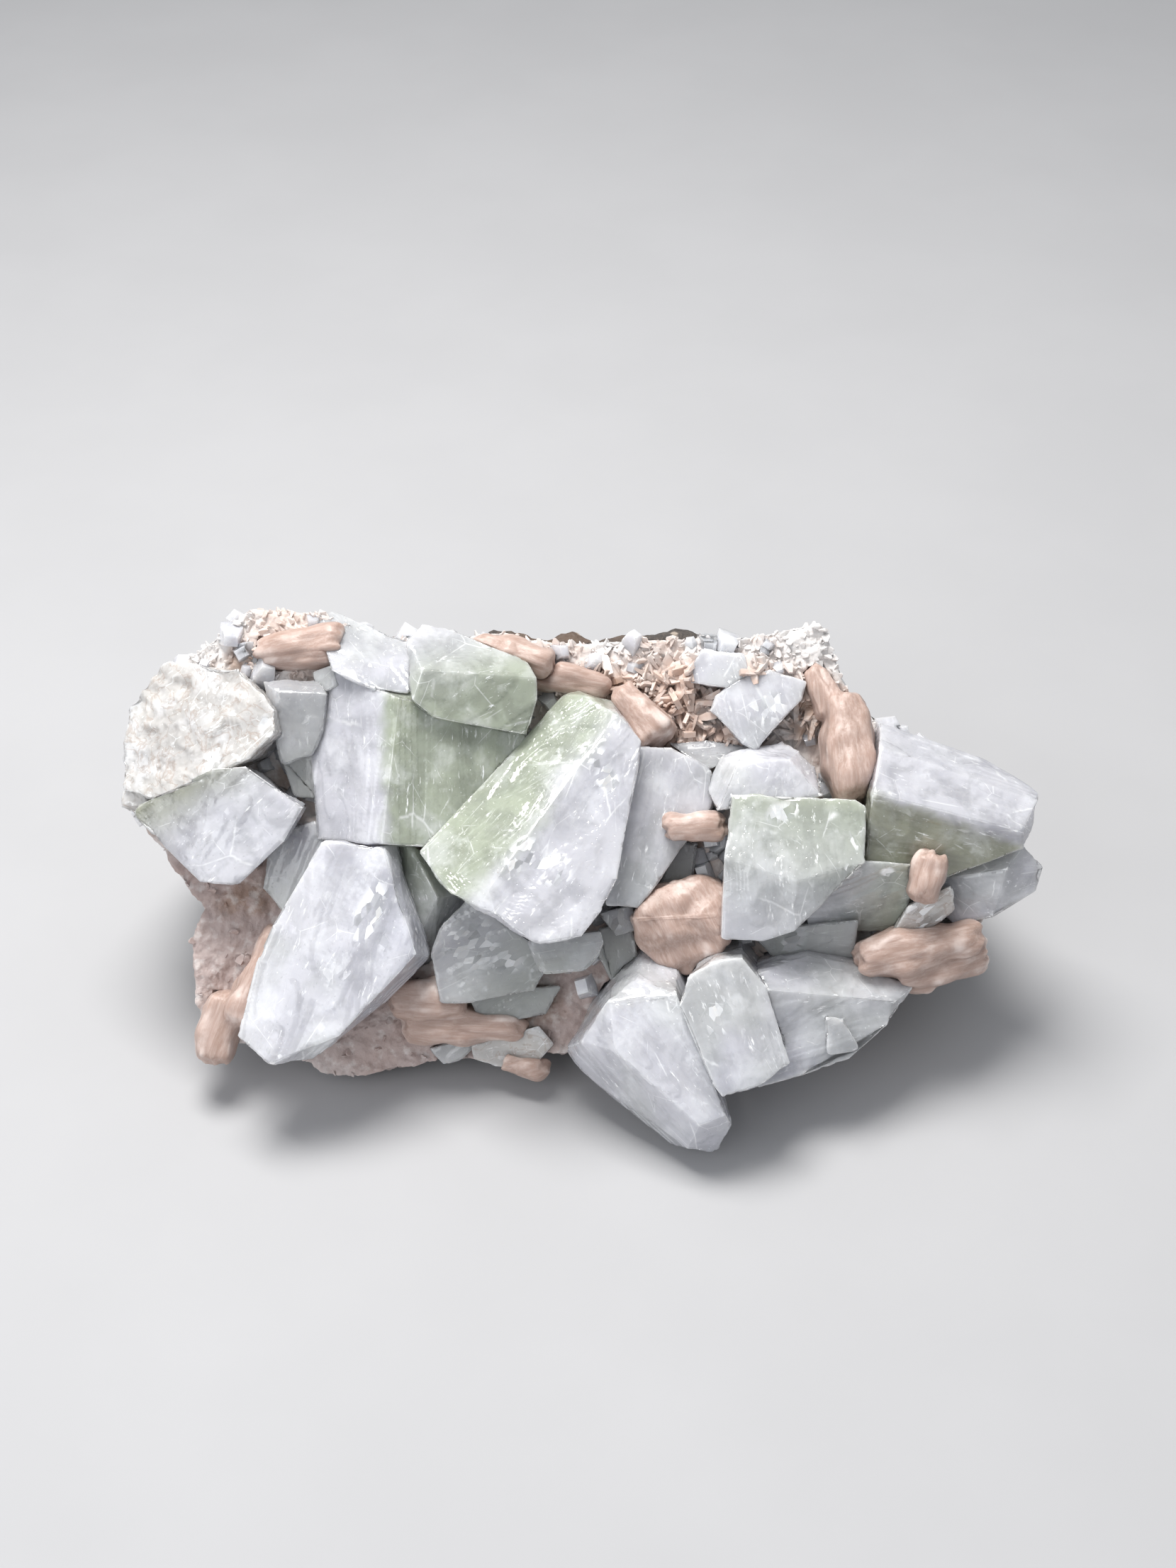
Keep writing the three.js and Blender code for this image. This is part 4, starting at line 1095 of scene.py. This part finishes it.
class MINERAL_OT_druse(bpy.types.Operator):
    """Make the blades, grains and small crystals that stand on the crust"""

    bl_idname = "mineral.druse"
    bl_label = "Druse"

    def execute(self, context):
        settings = context.scene.mineral_crust
        crystals = context.scene.mineral_crystals
        tree = druse_tree("druse", "growth")
        crust = crust_material("druse", settings, 0.15 * MM, 0.25)
        glass = crystal_material("small_crystals", FACE_MIDDLE, 50 * MM, Look("frost", 0), crystals, 0)
        fields = (
            ("hollow_blades", "zeolite_crust", crust, blade_growth),
            ("crust_grains", "zeolite_crust", crust, grain_growth),
            ("small_crystals", "apophyllite_white", glass, small_growth),
        )
        sizes = (
            {"Per square metre": 700000.0, "Length": settings.blade, "Slimness": 2.6, "Lean": 7.0},
            {"Per square metre": 500000.0, "Length": settings.grain, "Slimness": 1.4, "Lean": 5.0},
            {"Per square metre": 30000.0, "Length": settings.small, "Slimness": 1.2, "Lean": 3.0},
        )
        shapes = ({"Taper": 0.6}, {"Taper": 0.7}, {"Taper": 0.4, "Flatness": 0.85})
        for seed, ((name, slot, finish, weigh), size, shape) in enumerate(zip(fields, sizes, shapes)):
            values = {**size, **shape, "Seed": settings.seed + seed, "Finish": finish}
            mesh = druse_mesh(name, growth_ground(name, weigh), tree, values)
            placed(name, mesh, finish, slot)
        return {"FINISHED"}


def basalt_material(settings):
    """Dark, grainy basalt with a weathered skin, pale specks and filled bubbles."""
    material, tree, shader = new_material("basalt", ior=1.5)
    place = add_node(tree, "ShaderNodeTexCoord").outputs["Object"]
    skin = ranged(tree, cloud(tree, place, 22 * MM, 5), 0.45, 0.65)
    tint = mixed(tree, maths(tree, "MULTIPLY", skin, 0.7), settings.dark, settings.rust)
    grain = ranged(tree, cloud(tree, place, 0.8 * MM, 5, 0.7), 0.4, 0.7)
    tint = mixed(tree, maths(tree, "MULTIPLY", grain, 0.35), tint, linear("8a8078"))
    bent = cloud(tree, place, 3 * MM, 3)
    bubble = maths(tree, "ADD", cells(tree, place, 9 * MM), maths(tree, "MULTIPLY", bent, 0.3))
    filled = ranged(tree, bubble, 0.26, 0.21)
    tint = mixed(tree, maths(tree, "MULTIPLY", filled, 0.7), tint, linear("b9ab9d"))
    tree.links.new(tint, shader.inputs["Base Color"])
    tree.links.new(ranged(tree, grain, 0, 1, 0.62, 0.9), shader.inputs["Roughness"])
    relief = bumped(tree, cloud(tree, place, 1.2 * MM, 6, 0.65), 0.6 * MM, 0.7)
    tree.links.new(relief, shader.inputs["Normal"])
    return material


class MINERAL_OT_basalt(bpy.types.Operator):
    """Make the broken basalt behind the crystals"""

    bl_idname = "mineral.basalt"
    bl_label = "Basalt"

    def execute(self, context):
        settings = context.scene.mineral_rock
        bm = solid_copy("basalt_matrix")
        refine(bm, settings.step)
        moves = []
        for vert in bm.verts:
            place = vert.co / MM
            covered = smooth(vert.normal.dot(OUT), 0.9, 0.99)
            base = smooth(vert.co.z, 3.0 * MM, 0.2 * MM)
            rough = rumpled(place, (1, 0.06), (0.6, 0.16), (0.3, 0.45))
            flake = abs(noise.noise(place * 0.1 + Vector((9, 4, 2)))) - 0.25
            height = (rough + flake) * settings.break_height * (1 - covered) * (1 - base)
            moves.append(vert.normal * height)
        displace(bm, moves)
        finished("basalt_matrix_fine", bm, basalt_material(settings), "basalt", "basalt_matrix")
        return {"FINISHED"}


def add_light(name, place, size, power, colour):
    """A soft square light that looks at the crystal face."""
    data = bpy.data.lights.new(name, "AREA")
    data.shape = "SQUARE"
    data.size = size
    data.energy = power
    data.color = colour
    light = bpy.data.objects.new(name, data)
    light.location = place
    light.rotation_euler = (FACE_MIDDLE - Vector(place)).to_track_quat("-Z", "Y").to_euler()
    bpy.context.scene.collection.objects.link(light)


class MINERAL_OT_stage(bpy.types.Operator):
    """Make the floor, the lights and the camera"""

    bl_idname = "mineral.stage"
    bl_label = "Stage"

    def execute(self, context):
        settings = context.scene.mineral_stage
        mesh = bpy.data.meshes.new("floor")
        corners = [(x * FLOOR_REACH, y * FLOOR_REACH, 0) for x, y in ((-1, -1), (1, -1), (1, 1), (-1, 1))]
        mesh.from_pydata(corners, [], [(0, 1, 2, 3)])
        floor = bpy.data.objects.new("floor", mesh)
        context.scene.collection.objects.link(floor)
        material, tree, shader = new_material("floor", roughness=0.75)
        place = add_node(tree, "ShaderNodeTexCoord").outputs["Object"]
        tone = ranged(tree, cloud(tree, place, 60 * MM, 4), 0.3, 0.7, 0.97, 1.0)
        tint = mixed(tree, 1.0, settings.floor, tone, "MULTIPLY")
        tree.links.new(tint, shader.inputs["Base Color"])
        mesh.materials.append(material)

        world = bpy.data.worlds.new("room")
        world.use_nodes = True
        background = world.node_tree.nodes["Background"]
        background.inputs["Color"].default_value = (0.93, 0.96, 1.0, 1.0)
        background.inputs["Strength"].default_value = settings.sky
        context.scene.world = world
        add_light("top_light", TOP_LIGHT_PLACE, 0.34, settings.key, (1.0, 0.985, 0.96))
        add_light("front_fill", FRONT_LIGHT_PLACE, 0.7, settings.fill, (0.95, 0.97, 1.0))

        data = bpy.data.cameras.new("camera")
        data.sensor_fit = "AUTO"
        data.sensor_width = SENSOR
        data.lens = SENSOR * VIEW_DISTANCE / VIEW_HEIGHT
        camera = bpy.data.objects.new("camera", data)
        camera.location = FACE_MIDDLE + OUT * VIEW_DISTANCE
        camera.rotation_euler = (-OUT).to_track_quat("-Z", "Y").to_euler()
        context.scene.collection.objects.link(camera)
        context.scene.camera = camera
        context.scene.view_settings.view_transform = "Standard"
        return {"FINISHED"}


class MINERAL_PT_panel(bpy.types.Panel):
    """Lists the specimen's pieces and sizes."""

    bl_label = "Mineral Specimen"
    bl_idname = "MINERAL_PT_panel"
    bl_space_type = "VIEW_3D"
    bl_region_type = "UI"
    bl_category = "Mineral"

    def draw(self, context):
        groups = {
            "mineral_crystals": ("green_crystals", "white_crystals", "clear_crystals"),
            "mineral_sheaves": ("stilbite_sheaves",),
            "mineral_crust": ("zeolite_crust", "druse"),
            "mineral_rock": ("basalt",),
            "mineral_stage": ("stage",),
        }
        for group, operators in groups.items():
            box = self.layout.box()
            settings = getattr(context.scene, group)
            for name in settings.__annotations__:
                box.prop(settings, name)
            for operator in operators:
                box.operator(f"mineral.{operator}")


SETTINGS = {
    "mineral_crystals": CrystalSettings,
    "mineral_sheaves": SheafSettings,
    "mineral_crust": CrustSettings,
    "mineral_rock": RockSettings,
    "mineral_stage": StageSettings,
}
OPERATORS = (
    MINERAL_OT_green_crystals,
    MINERAL_OT_white_crystals,
    MINERAL_OT_clear_crystals,
    MINERAL_OT_stilbite_sheaves,
    MINERAL_OT_zeolite_crust,
    MINERAL_OT_druse,
    MINERAL_OT_basalt,
    MINERAL_OT_stage,
)


def register():
    """Adds the settings, operators and panel."""
    for name, group in SETTINGS.items():
        bpy.utils.register_class(group)
        setattr(bpy.types.Scene, name, PointerProperty(type=group))
    for operator in OPERATORS:
        bpy.utils.register_class(operator)
    bpy.utils.register_class(MINERAL_PT_panel)


def unregister():
    """Takes them away again."""
    bpy.utils.unregister_class(MINERAL_PT_panel)
    for operator in reversed(OPERATORS):
        bpy.utils.unregister_class(operator)
    for name, group in SETTINGS.items():
        delattr(bpy.types.Scene, name)
        bpy.utils.unregister_class(group)


def main():
    """Makes every piece and the stage."""
    register()
    bpy.ops.mineral.green_crystals()
    bpy.ops.mineral.white_crystals()
    bpy.ops.mineral.clear_crystals()
    bpy.ops.mineral.stilbite_sheaves()
    bpy.ops.mineral.zeolite_crust()
    bpy.ops.mineral.druse()
    bpy.ops.mineral.basalt()
    bpy.ops.mineral.stage()


if __name__ == "__main__":
    main()
